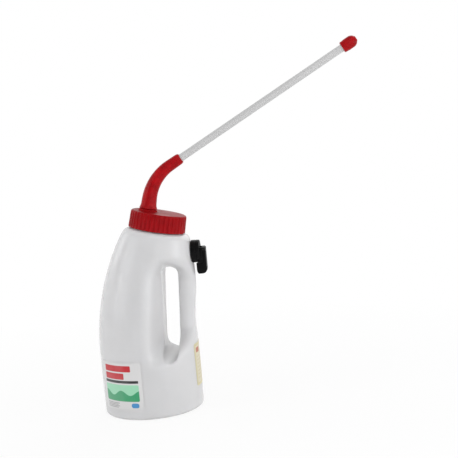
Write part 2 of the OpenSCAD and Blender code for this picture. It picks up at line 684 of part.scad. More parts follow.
// Labels: thin sheets bent round the bottle's lower wall
front_turn = 180;
module label(low, h, mid, span) rotate([0, 0, mid - span / 2]) translate([0, 0, low])
    rotate_extrude(angle = span, $fn = 128) translate([base_r + label_gap, 0]) square([label_t, h]);
module front_label() color(white) label(front_low, front_h, front_turn + front_mid, front_span);
module rear_label() color(yellow) label(ledge_z + rear_up - rear_h, rear_h, 0, rear_span);

bottle();
screw_cap();
cap_liner();
spout_elbow();
spout_washer();
spout_nut();
tube_seal();
probe_tube();
probe_tip();
vent_gasket();
vent_housing();
vent_nut();
vent_lever();
vent_pin();
vent_plunger();
vent_seal();
vent_spring();
vent_button();
front_label();
rear_label();
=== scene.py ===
import math

import bmesh
import bpy
from mathutils import Matrix, Vector


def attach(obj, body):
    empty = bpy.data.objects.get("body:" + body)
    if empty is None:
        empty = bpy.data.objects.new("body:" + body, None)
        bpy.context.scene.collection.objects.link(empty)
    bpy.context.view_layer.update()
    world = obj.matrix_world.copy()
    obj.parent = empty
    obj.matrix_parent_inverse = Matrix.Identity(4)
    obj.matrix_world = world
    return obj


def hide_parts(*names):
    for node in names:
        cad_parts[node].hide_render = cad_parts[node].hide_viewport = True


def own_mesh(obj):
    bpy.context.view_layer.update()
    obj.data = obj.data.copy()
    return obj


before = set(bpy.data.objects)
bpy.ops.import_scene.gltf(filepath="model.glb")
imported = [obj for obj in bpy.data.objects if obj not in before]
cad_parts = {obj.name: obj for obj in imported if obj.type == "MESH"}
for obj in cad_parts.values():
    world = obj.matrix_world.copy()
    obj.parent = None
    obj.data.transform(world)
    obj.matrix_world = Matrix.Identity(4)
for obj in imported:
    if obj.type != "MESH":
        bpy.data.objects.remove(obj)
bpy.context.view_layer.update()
print("frame loaded, nodes:", len(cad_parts))

# pieces are drawn in millimetres and brought to metres when they are put in place
toMetres = Matrix.Scale(0.001, 4)
quarter = math.radians(90)
mergeReach = 0.002
neck = {"x": 30.5, "z": 290.5, "tilt": 13, "r": 39, "height": 23, "flare": 2, "gap": 1.5,
        "easeIn": 1.2, "easeDrop": 0.9, "easeRise": 0.4, "middle": 12, "spare": 6}
valve = {"x": 82, "z": 250}
neckPlace = Matrix.Translation((neck["x"], 0, neck["z"])) @ Matrix.Rotation(math.radians(neck["tilt"]), 4, "Y")
valvePlace = Matrix.Translation((valve["x"], 0, valve["z"])) @ Matrix.Rotation(quarter, 4, "Y")


def deselect():
    bpy.ops.object.select_all(action="DESELECT")


def pick(piece):
    deselect()
    piece.select_set(True)
    bpy.context.view_layer.objects.active = piece


def added(name):
    piece = bpy.context.active_object
    piece.name = piece.data.name = name
    return piece


def placed(name):  # the primitive just added, with its place and turn put in its mesh
    piece = added(name)
    pick(piece)
    bpy.ops.object.transform_apply(location=True, rotation=True, scale=True)
    return piece


def roundBar(name, r, length, middle, turn=(0, 0, 0), sides=96):
    deselect()
    bpy.ops.mesh.primitive_cylinder_add(vertices=sides, radius=r, depth=length, rotation=turn, location=middle)
    return placed(name)


def editPiece(piece):
    pick(piece)
    bpy.ops.object.mode_set(mode="EDIT")
    bpy.ops.mesh.select_mode(type="VERT")
    return bmesh.from_edit_mesh(piece.data)


def leaveEdit():
    bpy.ops.object.mode_set(mode="OBJECT")


def useModifier(piece, kind, **values):
    pick(piece)
    modifier = piece.modifiers.new(kind.lower(), kind)
    for key, value in values.items():
        setattr(modifier, key, value)
    bpy.ops.object.modifier_apply(modifier=modifier.name)


def bevelEdges(piece, width, segments=3, angle=50):
    useModifier(piece, "BEVEL", width=width, segments=segments, limit_method="ANGLE", angle_limit=math.radians(angle))


def cutWith(piece, tool, how="DIFFERENCE"):
    useModifier(piece, "BOOLEAN", object=tool, operation=how, solver="EXACT")
    bpy.data.objects.remove(tool)


def cleanSkin():  # in edit mode: seams and poles are merged and the faces turned outwards
    bpy.ops.mesh.select_all(action="SELECT")
    bpy.ops.mesh.remove_doubles(threshold=mergeReach)
    bpy.ops.mesh.delete_loose(use_verts=True, use_edges=True, use_faces=False)
    bpy.ops.mesh.select_all(action="SELECT")
    bpy.ops.mesh.normals_make_consistent(inside=False)


def selectVerts(piece, wanted):  # in edit mode, by place
    bpy.ops.mesh.select_all(action="DESELECT")
    mesh = bmesh.from_edit_mesh(piece.data)
    for vert in mesh.verts:
        vert.select = wanted(vert.co)
    mesh.select_flush(True)
    bmesh.update_edit_mesh(piece.data)


# a circle set on the first ring, then extruded on to each next one
def raiseRings(name, rings, capped=False):
    deselect()
    bpy.ops.mesh.primitive_circle_add(vertices=len(rings[0]), radius=1)
    piece = added(name)
    mesh = editPiece(piece)
    bpy.ops.mesh.select_all(action="SELECT")
    line = list(range(len(rings[0])))
    for step, ring in enumerate(rings):
        if step:
            bpy.ops.mesh.extrude_region_move()
            mesh = bmesh.from_edit_mesh(piece.data)
            mesh.verts.index_update()
            mesh.verts.ensure_lookup_table()
            line = [next(edge.other_vert(mesh.verts[i]).index for edge in mesh.verts[i].link_edges
                         if edge.other_vert(mesh.verts[i]).select) for i in line]
        mesh.verts.ensure_lookup_table()
        for i, place in zip(line, ring):
            mesh.verts[i].co = place
    bmesh.update_edit_mesh(piece.data)
    if capped:
        bpy.ops.mesh.edge_face_add()
        bpy.ops.mesh.select_all(action="DESELECT")
        mesh = bmesh.from_edit_mesh(piece.data)
        mesh.verts.ensure_lookup_table()
        for i in range(len(rings[0])):
            mesh.verts[i].select = True
        mesh.select_flush(True)
        bpy.ops.mesh.edge_face_add()
    cleanSkin()
    leaveEdit()
    return piece


# a closed outline of (radius, height) points, spun about the Z axis
def spinOutline(name, outline, steps):
    deselect()
    bpy.ops.mesh.primitive_circle_add(vertices=len(outline), radius=1)
    piece = added(name)
    mesh = editPiece(piece)
    mesh.verts.ensure_lookup_table()
    for vert, (r, z) in zip(mesh.verts, outline):
        vert.co = (r, 0, z)
    bmesh.update_edit_mesh(piece.data)
    bpy.ops.mesh.select_all(action="SELECT")
    bpy.ops.mesh.spin(steps=steps, angle=math.tau, center=(0, 0, 0), axis=(0, 0, 1))
    cleanSkin()
    leaveEdit()
    return piece


# corners given as (across, up, rounding)
def roundedOutline(corners, steps=5):
    outline = []
    for i, (x, y, r) in enumerate(corners):
        here = Vector((x, y))
        if not r:
            outline.append((x, y))
            continue
        before = (Vector(corners[i - 1][:2]) - here).normalized() * r
        after = (Vector(corners[(i + 1) % len(corners)][:2]) - here).normalized() * r
        for k in range(steps + 1):
            u = k / steps
            outline.append(tuple(here + before * (1 - u) ** 2 + after * u ** 2))
    return outline


# a round bar across Y whose far half is drawn out along (x, z)
def slotBar(name, radius, width, start, run, sides=64):
    deselect()
    bpy.ops.mesh.primitive_cylinder_add(vertices=sides, radius=radius, depth=width)
    piece = added(name)
    editPiece(piece)
    bpy.ops.mesh.select_all(action="SELECT")
    bpy.ops.transform.rotate(value=quarter, orient_axis="X", center_override=(0, 0, 0))
    pastMiddle = 0.01 * radius
    selectVerts(piece, lambda co: co.x * run[0] + co.z * run[1] > pastMiddle)
    bpy.ops.transform.translate(value=(run[0], 0, run[1]))
    bpy.ops.mesh.select_all(action="SELECT")
    bpy.ops.transform.translate(value=start)
    leaveEdit()
    return piece


def putInPlace(piece, place, angle=35):
    piece.data.transform(toMetres @ place)
    pick(piece)
    bpy.ops.object.shade_smooth_by_angle(angle=math.radians(angle))


# small tools for the node materials
def addNode(tree, kind, **values):
    new = tree.nodes.new(kind)
    for key, value in values.items():
        setattr(new, key, value)
    return new


def feed(tree, source, socket):
    if isinstance(source, (int, float, tuple)):
        socket.default_value = source
    else:
        tree.links.new(source, socket)


def sums(tree, operation, *values):
    new = addNode(tree, "ShaderNodeMath", operation=operation)
    for socket, value in zip(new.inputs, values):
        feed(tree, value, socket)
    return new.outputs[0]


def blendColours(tree, mask, first, second):
    new = addNode(tree, "ShaderNodeMix", data_type="RGBA")
    for number, value in ((0, mask), (6, first), (7, second)):  # where the node keeps its colours
        feed(tree, value, new.inputs[number])
    return new.outputs[2]


def spread(tree, value, low, high, newLow, newHigh):
    new = addNode(tree, "ShaderNodeMapRange")
    for socket, number in zip(new.inputs, (value, low, high, newLow, newHigh)):
        feed(tree, number, socket)
    return new.outputs[0]


def noise(tree, place, scale, detail, rough=0.5):
    new = addNode(tree, "ShaderNodeTexNoise")
    for title, value in (("Vector", place), ("Scale", scale), ("Detail", detail), ("Roughness", rough)):
        feed(tree, value, new.inputs[title])
    return new.outputs["Fac"]


def objectPlace(tree):
    return addNode(tree, "ShaderNodeTexCoord").outputs["Object"]


def split(tree, place):
    new = addNode(tree, "ShaderNodeSeparateXYZ")
    feed(tree, place, new.inputs[0])
    return new.outputs


def newGroup(name, takes, gives):
    group = bpy.data.node_groups.new(name, "ShaderNodeTree")
    for title, value in takes:
        socket = group.interface.new_socket(name=title, in_out="INPUT", socket_type="NodeSocketFloat")
        socket.default_value = value
    for title in gives:
        group.interface.new_socket(name=title, in_out="OUTPUT", socket_type="NodeSocketFloat")
    return group, addNode(group, "NodeGroupInput"), addNode(group, "NodeGroupOutput")


mould = {"grain": 2400.0, "grainDetail": 2.0, "wave": 60.0, "waveDetail": 3.0, "waveShare": 1.6,
         "rub": 24.0, "rubDetail": 4.0, "rubRough": 0.55, "rubEdge": (0.42, 0.62)}


# skin of a moulded piece: fine pebbling, a slow waviness, and where hands have polished it
def makeMouldSkin():
    group, taken, given = newGroup("mouldSkin", [("Grain", mould["grain"]), ("Wave", mould["wave"])],
                                   ["Height", "Rubbed", "Cloud"])
    place = objectPlace(group)
    grain = noise(group, place, taken.outputs["Grain"], mould["grainDetail"])
    wave = noise(group, place, taken.outputs["Wave"], mould["waveDetail"])
    rub = noise(group, place, mould["rub"], mould["rubDetail"], mould["rubRough"])
    feed(group, sums(group, "MULTIPLY_ADD", wave, mould["waveShare"], grain), given.inputs["Height"])
    feed(group, spread(group, rub, *mould["rubEdge"], 0.0, 1.0), given.inputs["Rubbed"])
    feed(group, wave, given.inputs["Cloud"])
    return group


scuff = {"length": 30.0, "thin": 26.0, "detail": 1.0, "edge": (0.68, 0.74),
         "turns": ((0.3, 0.5, 0.9), (1.9, 2.3, 0.2), (0.7, 2.9, 1.6))}


# fine crossed scratches from use
def makeScuffs():
    group, taken, given = newGroup("scuffs", [("Length", scuff["length"])], ["Scuff"])
    place = objectPlace(group)
    found = 0.0
    for turn in scuff["turns"]:
        mapping = addNode(group, "ShaderNodeMapping")
        mapping.inputs["Rotation"].default_value = turn
        mapping.inputs["Scale"].default_value = (1.0, scuff["thin"], scuff["thin"])
        feed(group, place, mapping.inputs["Vector"])
        streak = noise(group, mapping.outputs[0], taken.outputs["Length"], scuff["detail"])
        found = sums(group, "MAXIMUM", spread(group, streak, *scuff["edge"], 0.0, 1.0), found)
    feed(group, found, given.inputs["Scuff"])
    return group


printEdge = 0.0025


# rounded box on a flat label: 1 inside, 0 outside
def makePrintedBox():
    takes = [("U", 0.5), ("V", 0.5), ("MidU", 0.5), ("MidV", 0.5), ("HalfU", 0.2), ("HalfV", 0.2), ("Corner", 0.02)]
    group, taken, given = newGroup("printedBox", takes, ["Mask"])
    squares = []
    for axis in "UV":
        away = sums(group, "ABSOLUTE", sums(group, "SUBTRACT", taken.outputs[axis], taken.outputs["Mid" + axis]))
        flat = sums(group, "SUBTRACT", taken.outputs["Half" + axis], taken.outputs["Corner"])
        past = sums(group, "MAXIMUM", sums(group, "SUBTRACT", away, flat), 0.0)
        squares.append(sums(group, "POWER", past, 2.0))
    reach = sums(group, "SQRT", sums(group, "ADD", *squares))
    edge = sums(group, "SUBTRACT", reach, taken.outputs["Corner"])
    feed(group, spread(group, edge, -printEdge, printEdge, 1.0, 0.0), given.inputs["Mask"])
    return group


mouldSkin = makeMouldSkin()
scuffs = makeScuffs()
printedBox = makePrintedBox()


def newFinish(name):
    material = bpy.data.materials.new(name)
    material.use_nodes = True
    tree = material.node_tree
    return material, tree, tree.nodes["Principled BSDF"]


def useGroup(tree, group, **numbers):
    new = addNode(tree, "ShaderNodeGroup", node_tree=group)
    for key, value in numbers.items():
        feed(tree, value, new.inputs[key])
    return new.outputs


def addBump(tree, shader, height, strength, distance):
    bump = addNode(tree, "ShaderNodeBump")
    bump.inputs["Strength"].default_value = strength
    bump.inputs["Distance"].default_value = distance
    feed(tree, height, bump.inputs["Height"])
    tree.links.new(bump.outputs["Normal"], shader.inputs["Normal"])


def cloudedColour(tree, skin, edge, first, second):
    return blendColours(tree, spread(tree, skin["Cloud"], *edge, 0.0, 1.0), first, second)


def rubbedRough(tree, skin, rough):  # from the plain roughness to the polished one
    return spread(tree, skin["Rubbed"], 0.0, 1.0, *rough)


# 1 on the mould's parting line, where Y is nought
def partingLine(tree, width):
    away = sums(tree, "ABSOLUTE", split(tree, objectPlace(tree))["Y"])
    return spread(tree, away, width * 0.4, width, 1.0, 0.0)


# distance from the neck's own axis, in metres
def neckRadius(tree):
    mapping = addNode(tree, "ShaderNodeMapping", vector_type="TEXTURE")
    mapping.inputs["Location"].default_value = (neck["x"] / 1000, 0.0, neck["z"] / 1000)
    mapping.inputs["Rotation"].default_value = (0.0, math.radians(neck["tilt"]), 0.0)
    feed(tree, objectPlace(tree), mapping.inputs["Vector"])
    flat = addNode(tree, "ShaderNodeVectorMath", operation="MULTIPLY")
    feed(tree, mapping.outputs[0], flat.inputs[0])
    flat.inputs[1].default_value = (1.0, 1.0, 0.0)
    length = addNode(tree, "ShaderNodeVectorMath", operation="LENGTH")
    feed(tree, flat.outputs[0], length.inputs[0])
    return length.outputs["Value"]


milky = {"colour": (0.678, 0.668, 0.673, 1), "cloudy": (0.66, 0.652, 0.656, 1), "scuffed": (0.58, 0.57, 0.565, 1),
         "grain": 900.0, "wave": 22.0, "cloudEdge": (0.4, 0.65), "base": 0.005, "baseWear": (0.3, 1.0),
         "rough": (0.265, 0.215), "shine": 0.42, "soft": 0.55, "softColours": (1.0, 0.95, 0.9), "depth": 0.014,
         "seamWidth": 0.0006, "seamRise": 0.9, "grainShare": 0.1, "bump": (0.2, 0.0002)}


def makeMilkyPlastic():
    material, tree, shader = newFinish("milkyPlastic")
    skin = useGroup(tree, mouldSkin, Grain=milky["grain"], Wave=milky["wave"])
    height = split(tree, objectPlace(tree))["Z"]
    standing = spread(tree, height, 0.0, milky["base"], 1.0, 0.0)  # where it is set down again and again
    worn = sums(tree, "MULTIPLY", standing, spread(tree, skin["Rubbed"], 0.0, 1.0, *milky["baseWear"]))
    colour = cloudedColour(tree, skin, milky["cloudEdge"], milky["colour"], milky["cloudy"])
    feed(tree, blendColours(tree, worn, colour, milky["scuffed"]), shader.inputs["Base Color"])
    feed(tree, rubbedRough(tree, skin, milky["rough"]), shader.inputs["Roughness"])
    shader.inputs["Subsurface Weight"].default_value = milky["soft"]
    shader.inputs["Subsurface Radius"].default_value = milky["softColours"]
    shader.inputs["Subsurface Scale"].default_value = milky["depth"]
    shader.inputs["Specular IOR Level"].default_value = milky["shine"]
    seam = sums(tree, "MULTIPLY", partingLine(tree, milky["seamWidth"]), milky["seamRise"])
    addBump(tree, shader, sums(tree, "MULTIPLY_ADD", skin["Height"], milky["grainShare"], seam), *milky["bump"])
    return material


# the ribbed cap's pair is the same red made darker: painted shade standing in for the shade among its grip ribs
red = {"smooth": ((0.38, 0.0018, 0.005, 1), (0.26, 0.0012, 0.0034, 1)),
       "shadedRibbed": ((0.285, 0.0013, 0.0037, 1), (0.235, 0.0011, 0.0031, 1)), "rubbed": (0.42, 0.014, 0.019, 1),
       "grain": 2600.0, "wave": 90.0, "cloudEdge": (0.35, 0.7), "scuffLength": 60.0, "scuffShare": 0.22,
       "crest": (0.0448, 0.0458), "crestWear": 0.5, "rough": (0.4, 0.3), "wornRough": 0.3,
       "shine": {"smooth": 0.12, "shadedRibbed": 0.08}, "seamWidth": 0.00025, "seamRise": 0.8,
       "grainShare": 0.2, "bump": (0.25, 0.0003)}


def makeRedPlastic(name, kind):
    # for the ribbed cap both colours are the red darkened by painted shade
    bright, deep = red[kind]
    material, tree, shader = newFinish(name)
    skin = useGroup(tree, mouldSkin, Grain=red["grain"], Wave=red["wave"])
    marks = useGroup(tree, scuffs, Length=red["scuffLength"])
    colour = cloudedColour(tree, skin, red["cloudEdge"], bright, deep)
    worn = sums(tree, "MULTIPLY", marks["Scuff"], red["scuffShare"])
    if kind == "shadedRibbed":  # crests of the grip ribs are rubbed pale
        crest = spread(tree, neckRadius(tree), *red["crest"], 0.0, red["crestWear"])
        worn = sums(tree, "MAXIMUM", worn, sums(tree, "MULTIPLY", crest, skin["Rubbed"]))
        seam = 0.0
    else:
        seam = sums(tree, "MULTIPLY", partingLine(tree, red["seamWidth"]), red["seamRise"])
    feed(tree, blendColours(tree, worn, colour, red["rubbed"]), shader.inputs["Base Color"])
    rough = sums(tree, "MULTIPLY_ADD", worn, red["wornRough"], rubbedRough(tree, skin, red["rough"]))
    feed(tree, rough, shader.inputs["Roughness"])
    shader.inputs["Specular IOR Level"].default_value = red["shine"][kind]
    addBump(tree, shader, sums(tree, "MULTIPLY_ADD", skin["Height"], red["grainShare"], seam), *red["bump"])
    return material


black = {"colour": (0.0026, 0.0026, 0.0028, 1), "dusty": (0.0042, 0.0042, 0.0044, 1),
         "rubbed": (0.014, 0.014, 0.0145, 1), "grain": 3200.0, "wave": 120.0, "cloudEdge": (0.4, 0.7),
         "scuffLength": 90.0, "scuffShare": 0.3, "rough": (0.5, 0.4), "shine": 0.1, "bump": (0.3, 0.00012)}


def makeBlackPlastic():
    material, tree, shader = newFinish("blackPlastic")
    skin = useGroup(tree, mouldSkin, Grain=black["grain"], Wave=black["wave"])
    marks = useGroup(tree, scuffs, Length=black["scuffLength"])
    colour = cloudedColour(tree, skin, black["cloudEdge"], black["colour"], black["dusty"])
    worn = sums(tree, "MULTIPLY", marks["Scuff"], black["scuffShare"])
    feed(tree, blendColours(tree, worn, colour, black["rubbed"]), shader.inputs["Base Color"])
    feed(tree, rubbedRough(tree, skin, black["rough"]), shader.inputs["Roughness"])
    shader.inputs["Specular IOR Level"].default_value = black["shine"]
    addBump(tree, shader, skin["Height"], *black["bump"])
    return material


tubeFinish = {"colour": (0.485, 0.485, 0.487, 1), "streak": (0.505, 0.505, 0.507, 1), "lean": 61, "drawn": 60.0,
              "lines": 500.0, "lineDetail": 2.0, "lineRough": 0.55, "lineEdge": (0.35, 0.65), "grain": 1800.0,
              "wave": 50.0, "scuffLength": 70.0, "scuffShare": 0.1, "rough": (0.36, 0.29), "bump": (0.08, 0.00005)}


# clear-white drawn tube, with the faint lengthwise lines that its die leaves
def makeTubePlastic():
    material, tree, shader = newFinish("tubePlastic")
    mapping = addNode(tree, "ShaderNodeMapping", vector_type="TEXTURE")
    mapping.inputs["Rotation"].default_value = (0.0, math.radians(tubeFinish["lean"]), 0.0)
    mapping.inputs["Scale"].default_value = (1.0, 1.0, tubeFinish["drawn"])
    feed(tree, objectPlace(tree), mapping.inputs["Vector"])
    lines = noise(tree, mapping.outputs[0], tubeFinish["lines"], tubeFinish["lineDetail"], tubeFinish["lineRough"])
    skin = useGroup(tree, mouldSkin, Grain=tubeFinish["grain"], Wave=tubeFinish["wave"])
    marks = useGroup(tree, scuffs, Length=tubeFinish["scuffLength"])
    streaks = spread(tree, lines, *tubeFinish["lineEdge"], 0.0, 1.0)
    colour = blendColours(tree, streaks, tubeFinish["colour"], tubeFinish["streak"])
    worn = sums(tree, "MULTIPLY", marks["Scuff"], tubeFinish["scuffShare"])
    feed(tree, blendColours(tree, worn, colour, milky["scuffed"]), shader.inputs["Base Color"])
    feed(tree, rubbedRough(tree, skin, tubeFinish["rough"]), shader.inputs["Roughness"])
    addBump(tree, shader, lines, *tubeFinish["bump"])
    return material


# small inner pieces: two colours, grain size, roughness and strength of the grain
small = {"stem": ((0.6, 0.6, 0.58, 1), (0.52, 0.52, 0.5, 1), 2600.0, 0.4, 0.2),
         "foam": ((0.7, 0.7, 0.68, 1), (0.6, 0.6, 0.58, 1), 4200.0, 0.85, 0.6),
         "rubber": ((0.02, 0.02, 0.021, 1), (0.035, 0.034, 0.033, 1), 3600.0, 0.75, 0.4),
         "steel": ((0.56, 0.56, 0.57, 1), (0.48, 0.48, 0.49, 1), 5200.0, 0.32, 0.15),
         "blackSteel": ((0.02, 0.02, 0.021, 1), (0.035, 0.034, 0.034, 1), 5200.0, 0.32, 0.15)}
smallSkin = {"waveShare": 20, "cloudEdge": (0.35, 0.65), "polish": 0.1, "bumpDeep": 0.0002}


def makeSmallFinish(name, kind, metal=0.0):
    first, second, grain, rough, bump = small[kind]
    material, tree, shader = newFinish(name)
    skin = useGroup(tree, mouldSkin, Grain=grain, Wave=grain / smallSkin["waveShare"])
    feed(tree, cloudedColour(tree, skin, smallSkin["cloudEdge"], first, second), shader.inputs["Base Color"])
    feed(tree, rubbedRough(tree, skin, (rough, rough - smallSkin["polish"])), shader.inputs["Roughness"])
    shader.inputs["Metallic"].default_value = metal
    addBump(tree, shader, skin["Height"], bump, smallSkin["bumpDeep"])
    return material


finishes = {
    "milky": makeMilkyPlastic(),
    "red": makeRedPlastic("redPlastic", "smooth"),
    # the cap's red, darkened with painted shade among its ribs
    "shadedRibbedRed": makeRedPlastic("shadedRibbedRedPlastic", "shadedRibbed"),
    "black": makeBlackPlastic(),
    "tube": makeTubePlastic(),
    "stem": makeSmallFinish("stemPlastic", "stem"),
    "foam": makeSmallFinish("linerFoam", "foam"),
    "rubber": makeSmallFinish("rubber", "rubber"),
    "steel": makeSmallFinish("drawnSteel", "steel", 1.0),
    "blackSteel": makeSmallFinish("blackenedSteel", "blackSteel", 1.0)}
print("finishes made:", len(finishes))


def finishPiece(piece, finish, body, slot, *nodes):
    piece.data.materials.clear()
    piece.data.materials.append(finish)
    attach(piece, body)
    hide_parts(*nodes)
    print("made", piece.name, "faces:", len(piece.data.polygons))


# the jug, in the same terms as its solid: levels, ledge, brow and finger gap
jug = {"baseR": 80, "fillet": 5, "filletTurn": 15, "wall": 2.2, "leanStart": 100, "leanR": 364, "sideLeanR": 640,
       "frontTop": 288, "rearTop": 272, "swell": 6.2, "swellZ": 222, "swellSpread": 52,
       "gapLow": (40, 96), "gapHigh": (47, 220.8), "gapR": 12.2, "hollow": 0.72, "hollowSpread": 18,
       "waist": (0.1, 0.44, 0.62), "ledge": (78, 113, 27), "brow": (212, 254, 12),
       "underside": ((0, 3.5), (24, 3.3), (50, 2.7), (62, 1.2), (68, 0.1), (71, 0)),  # radius and height
       "sides": 216, "levels": 112, "shoulderSteps": 24, "voxel": 2.3, "smooth": 7,
       "bossR": 19.2, "bossFoot": 9, "faceOver": 0.15, "faceDeep": 16, "ventHole": 9.8, "holeReach": 3}


def ease(low, high, v):
    u = min(1, max(0, (v - low) / (high - low)))
    return u * u * (3 - 2 * u)


def bell(d, width):
    return math.exp(-(d / width) ** 2)


def drawnIn(r, d):
    return r - math.sqrt(r * r - d * d) if d > 0 else 0


def bowed(p0, p1, p2, u):
    return p0 * (1 - u) ** 2 + p1 * (2 * u * (1 - u)) + p2 * u * u


neckAxis = Vector((math.sin(math.radians(neck["tilt"])), math.cos(math.radians(neck["tilt"]))))
neckAcross = Vector((neckAxis.y, -neckAxis.x))
neckMiddle = Vector((neck["x"], neck["z"]))
neckFoot = neck["r"] + neck["flare"]
shoulderZ = (jug["frontTop"] + jug["rearTop"]) / 2


# a level of the jug: front point and rear point in X and Z, and the half-width
def wallLevel(z):
    up = z / shoulderZ
    front, rear = up * jug["frontTop"], up * jug["rearTop"]
    return (Vector((-jug["baseR"] + drawnIn(jug["leanR"], front - jug["leanStart"]), front)),
            Vector((jug["baseR"] + jug["swell"] * bell(rear - jug["swellZ"], jug["swellSpread"]), rear)),
            jug["baseR"] - drawnIn(jug["sideLeanR"], z - jug["leanStart"]))


def shoulderLevel(u):
    top, below = wallLevel(shoulderZ), wallLevel(shoulderZ - 1)
    corners = []
    for p, q in zip(top[:2], below[:2]):
        along = (p - q).normalized()
        corners.append(p + along * ((-neck["gap"] - (p - neckMiddle).dot(neckAxis)) / along.dot(neckAxis)))
    ends = [neckMiddle + neckAcross * side * neckFoot - neckAxis * neck["gap"] for side in (-1, 1)]
    return (bowed(top[0], corners[0], ends[0], u), bowed(top[1], corners[1], ends[1], u),
            bowed(top[2], (corners[0] - corners[1]).length / 2, neckFoot, u))


gapLow, gapHigh = Vector(jug["gapLow"]), Vector(jug["gapHigh"])
gapRun = gapHigh - gapLow


def gapDistance(p):
    part = min(1, max(0, (p - gapLow).dot(gapRun) / gapRun.dot(gapRun)))
    return (p - gapLow - gapRun * part).length


def levelRise(s, z):  # the ledge rises to the rear, the brow drops
    ledgeLow, ledgeTop, climb = jug["ledge"]
    browLow, browTop, drop = jug["brow"]
    middle = (ledgeTop + browLow) / 2
    return max(0, s) ** 2 * (climb * ease(2 * jug["fillet"], ledgeLow, z) * (1 - ease(ledgeTop, middle, z))
                             - drop * ease(middle, browLow, z) * (1 - ease(browTop, shoulderZ, z)))


def widthKept(s, z, p):
    start, end, depth = jug["waist"]
    handle = ease(*jug["ledge"][:2], z) * (1 - ease(*jug["brow"][:2], z))
    return ((1 - depth * handle * ease(start, end, s))
            * (1 - jug["hollow"] * handle * bell(gapDistance(p), jug["hollowSpread"])))


def jugRing(level):
    ring = []
    for k in range(jug["sides"]):
        s = math.cos(k * math.tau / jug["sides"])
        flat = (level[0] + level[1]) / 2 + (level[1] - level[0]) * (s / 2)
        p = flat + Vector((0, levelRise(s, flat.y)))
        y = level[2] * math.sin(k * math.tau / jug["sides"]) * widthKept(s, flat.y, p)
        ring.append((p.x, y, p.y))
    return ring


def roundRing(r, z):
    turns = [k * math.tau / jug["sides"] for k in range(jug["sides"])]
    return [(r * math.cos(t), r * math.sin(t), z) for t in turns]


def neckRing(r, up):
    return [tuple(neckPlace @ Vector(p)) for p in roundRing(r, up)]


def jugRings():
    fillet = jug["fillet"]
    rings = [roundRing(r, z) for r, z in jug["underside"]]
    for turn in range(0, 91, jug["filletTurn"]):
        a = math.radians(turn)
        rings.append(roundRing(jug["baseR"] - fillet * (1 - math.sin(a)), fillet * (1 - math.cos(a))))
    for k in range(1, jug["levels"]):
        rings.append(jugRing(wallLevel(fillet + (shoulderZ - fillet) * k / jug["levels"])))
    rings += [jugRing(shoulderLevel(k / jug["shoulderSteps"])) for k in range(jug["shoulderSteps"] + 1)]
    rings.append(neckRing(neckFoot - neck["easeIn"], -neck["easeDrop"]))
    ups = neck["easeRise"], neck["middle"], neck["height"] + neck["spare"]  # the spare is cut off at the rim
    return rings + [neckRing(neck["r"], up) for up in ups]


def makeJugBody():
    piece = raiseRings("jugBody", jugRings(), capped=True)
    cutWith(piece, slotBar("fingerGap", jug["gapR"], 3 * jug["baseR"], (gapLow.x, 0, gapLow.y), tuple(gapRun)))
    deselect()
    bpy.ops.mesh.primitive_cone_add(vertices=96, radius1=jug["bossFoot"], radius2=jug["bossR"], depth=jug["bossR"],
                                    location=(0, 0, -jug["bossR"] / 2))
    boss = placed("ventBoss")
    boss.data.transform(valvePlace)
    cutWith(piece, boss, "UNION")
    seat = roundBar("ventFace", jug["bossR"] + jug["faceOver"], jug["faceDeep"], (0, 0, jug["faceDeep"] / 2))
    seat.data.transform(valvePlace)
    cutWith(piece, seat)
    useModifier(piece, "REMESH", mode="VOXEL", voxel_size=jug["voxel"])
    useModifier(piece, "SMOOTH", factor=0.5, iterations=jug["smooth"])
    editPiece(piece)
    bpy.ops.mesh.select_all(action="SELECT")
    rim = neckMiddle + neckAxis * neck["height"]
    bpy.ops.mesh.bisect(plane_co=(rim.x, 0, rim.y), plane_no=(neckAxis.x, 0, neckAxis.y), clear_outer=True)
    bpy.ops.mesh.select_mode(type="FACE")
    bpy.ops.mesh.select_all(action="DESELECT")
    mesh = bmesh.from_edit_mesh(piece.data)
    for face in mesh.faces:
        middle = face.calc_center_median()
        face.select = (abs(middle.x - valve["x"]) < jug["holeReach"]
                       and math.hypot(middle.y, middle.z - valve["z"]) < jug["ventHole"])
    bmesh.update_edit_mesh(piece.data)
    bpy.ops.mesh.delete(type="FACE")
    bpy.ops.mesh.select_mode(type="VERT")
    bpy.ops.mesh.select_all(action="SELECT")
    bpy.ops.mesh.normals_make_consistent(inside=False)
    leaveEdit()
    useModifier(piece, "SOLIDIFY", thickness=jug["wall"], offset=-1)
    putInPlace(piece, Matrix.Identity(4), 60)
    finishPiece(piece, finishes["milky"], "bottle", "bottle_plastic", "bottle")


thread = {"pitch": 6, "depth": 2, "root": 3, "crest": 1.6, "round": 0.3, "shoulder": 0.2, "turns": 1.25, "sink": 0.5,
          "runIn": 36, "thin": 0.05, "step": 6}


# a rounded thread, wound on a wall of radius r; side is 1 outwards and -1 inwards
def makeThread(name, r, low, side):
    count = int(thread["turns"] * 360 / thread["step"])
    root, crest, sink = thread["root"] / 2, thread["crest"] / 2, thread["sink"]
    easing, shoulder = thread["round"], thread["shoulder"]
    rings = []
    for i in range(count + 1):
        a = math.radians(i * thread["step"])
        fromEnd = min(i, count - i) * thread["step"]
        part = max(thread["thin"], min(1, fromEnd / thread["runIn"]))
        z = low + thread["pitch"] * i * thread["step"] / 360
        out = thread["depth"] * part
        outline = [(-sink, -root), (0, -root), (out - easing * part, -crest - shoulder), (out, -crest + easing),
                   (out, crest - easing), (out - easing * part, crest + shoulder), (0, root), (-sink, root)]
        rings.append([((r + side * d) * math.cos(a), (r + side * d) * math.sin(a), z + h) for d, h in outline])
    piece = raiseRings(name, rings, capped=True)
    putInPlace(piece, neckPlace, 50)
    return piece


makeJugBody()
neckThread = makeThread("neckThread", neck["r"], thread["root"] + thread["pitch"] / 2, 1)
finishPiece(neckThread, finishes["milky"], "bottle", "bottle_plastic", "bottle")

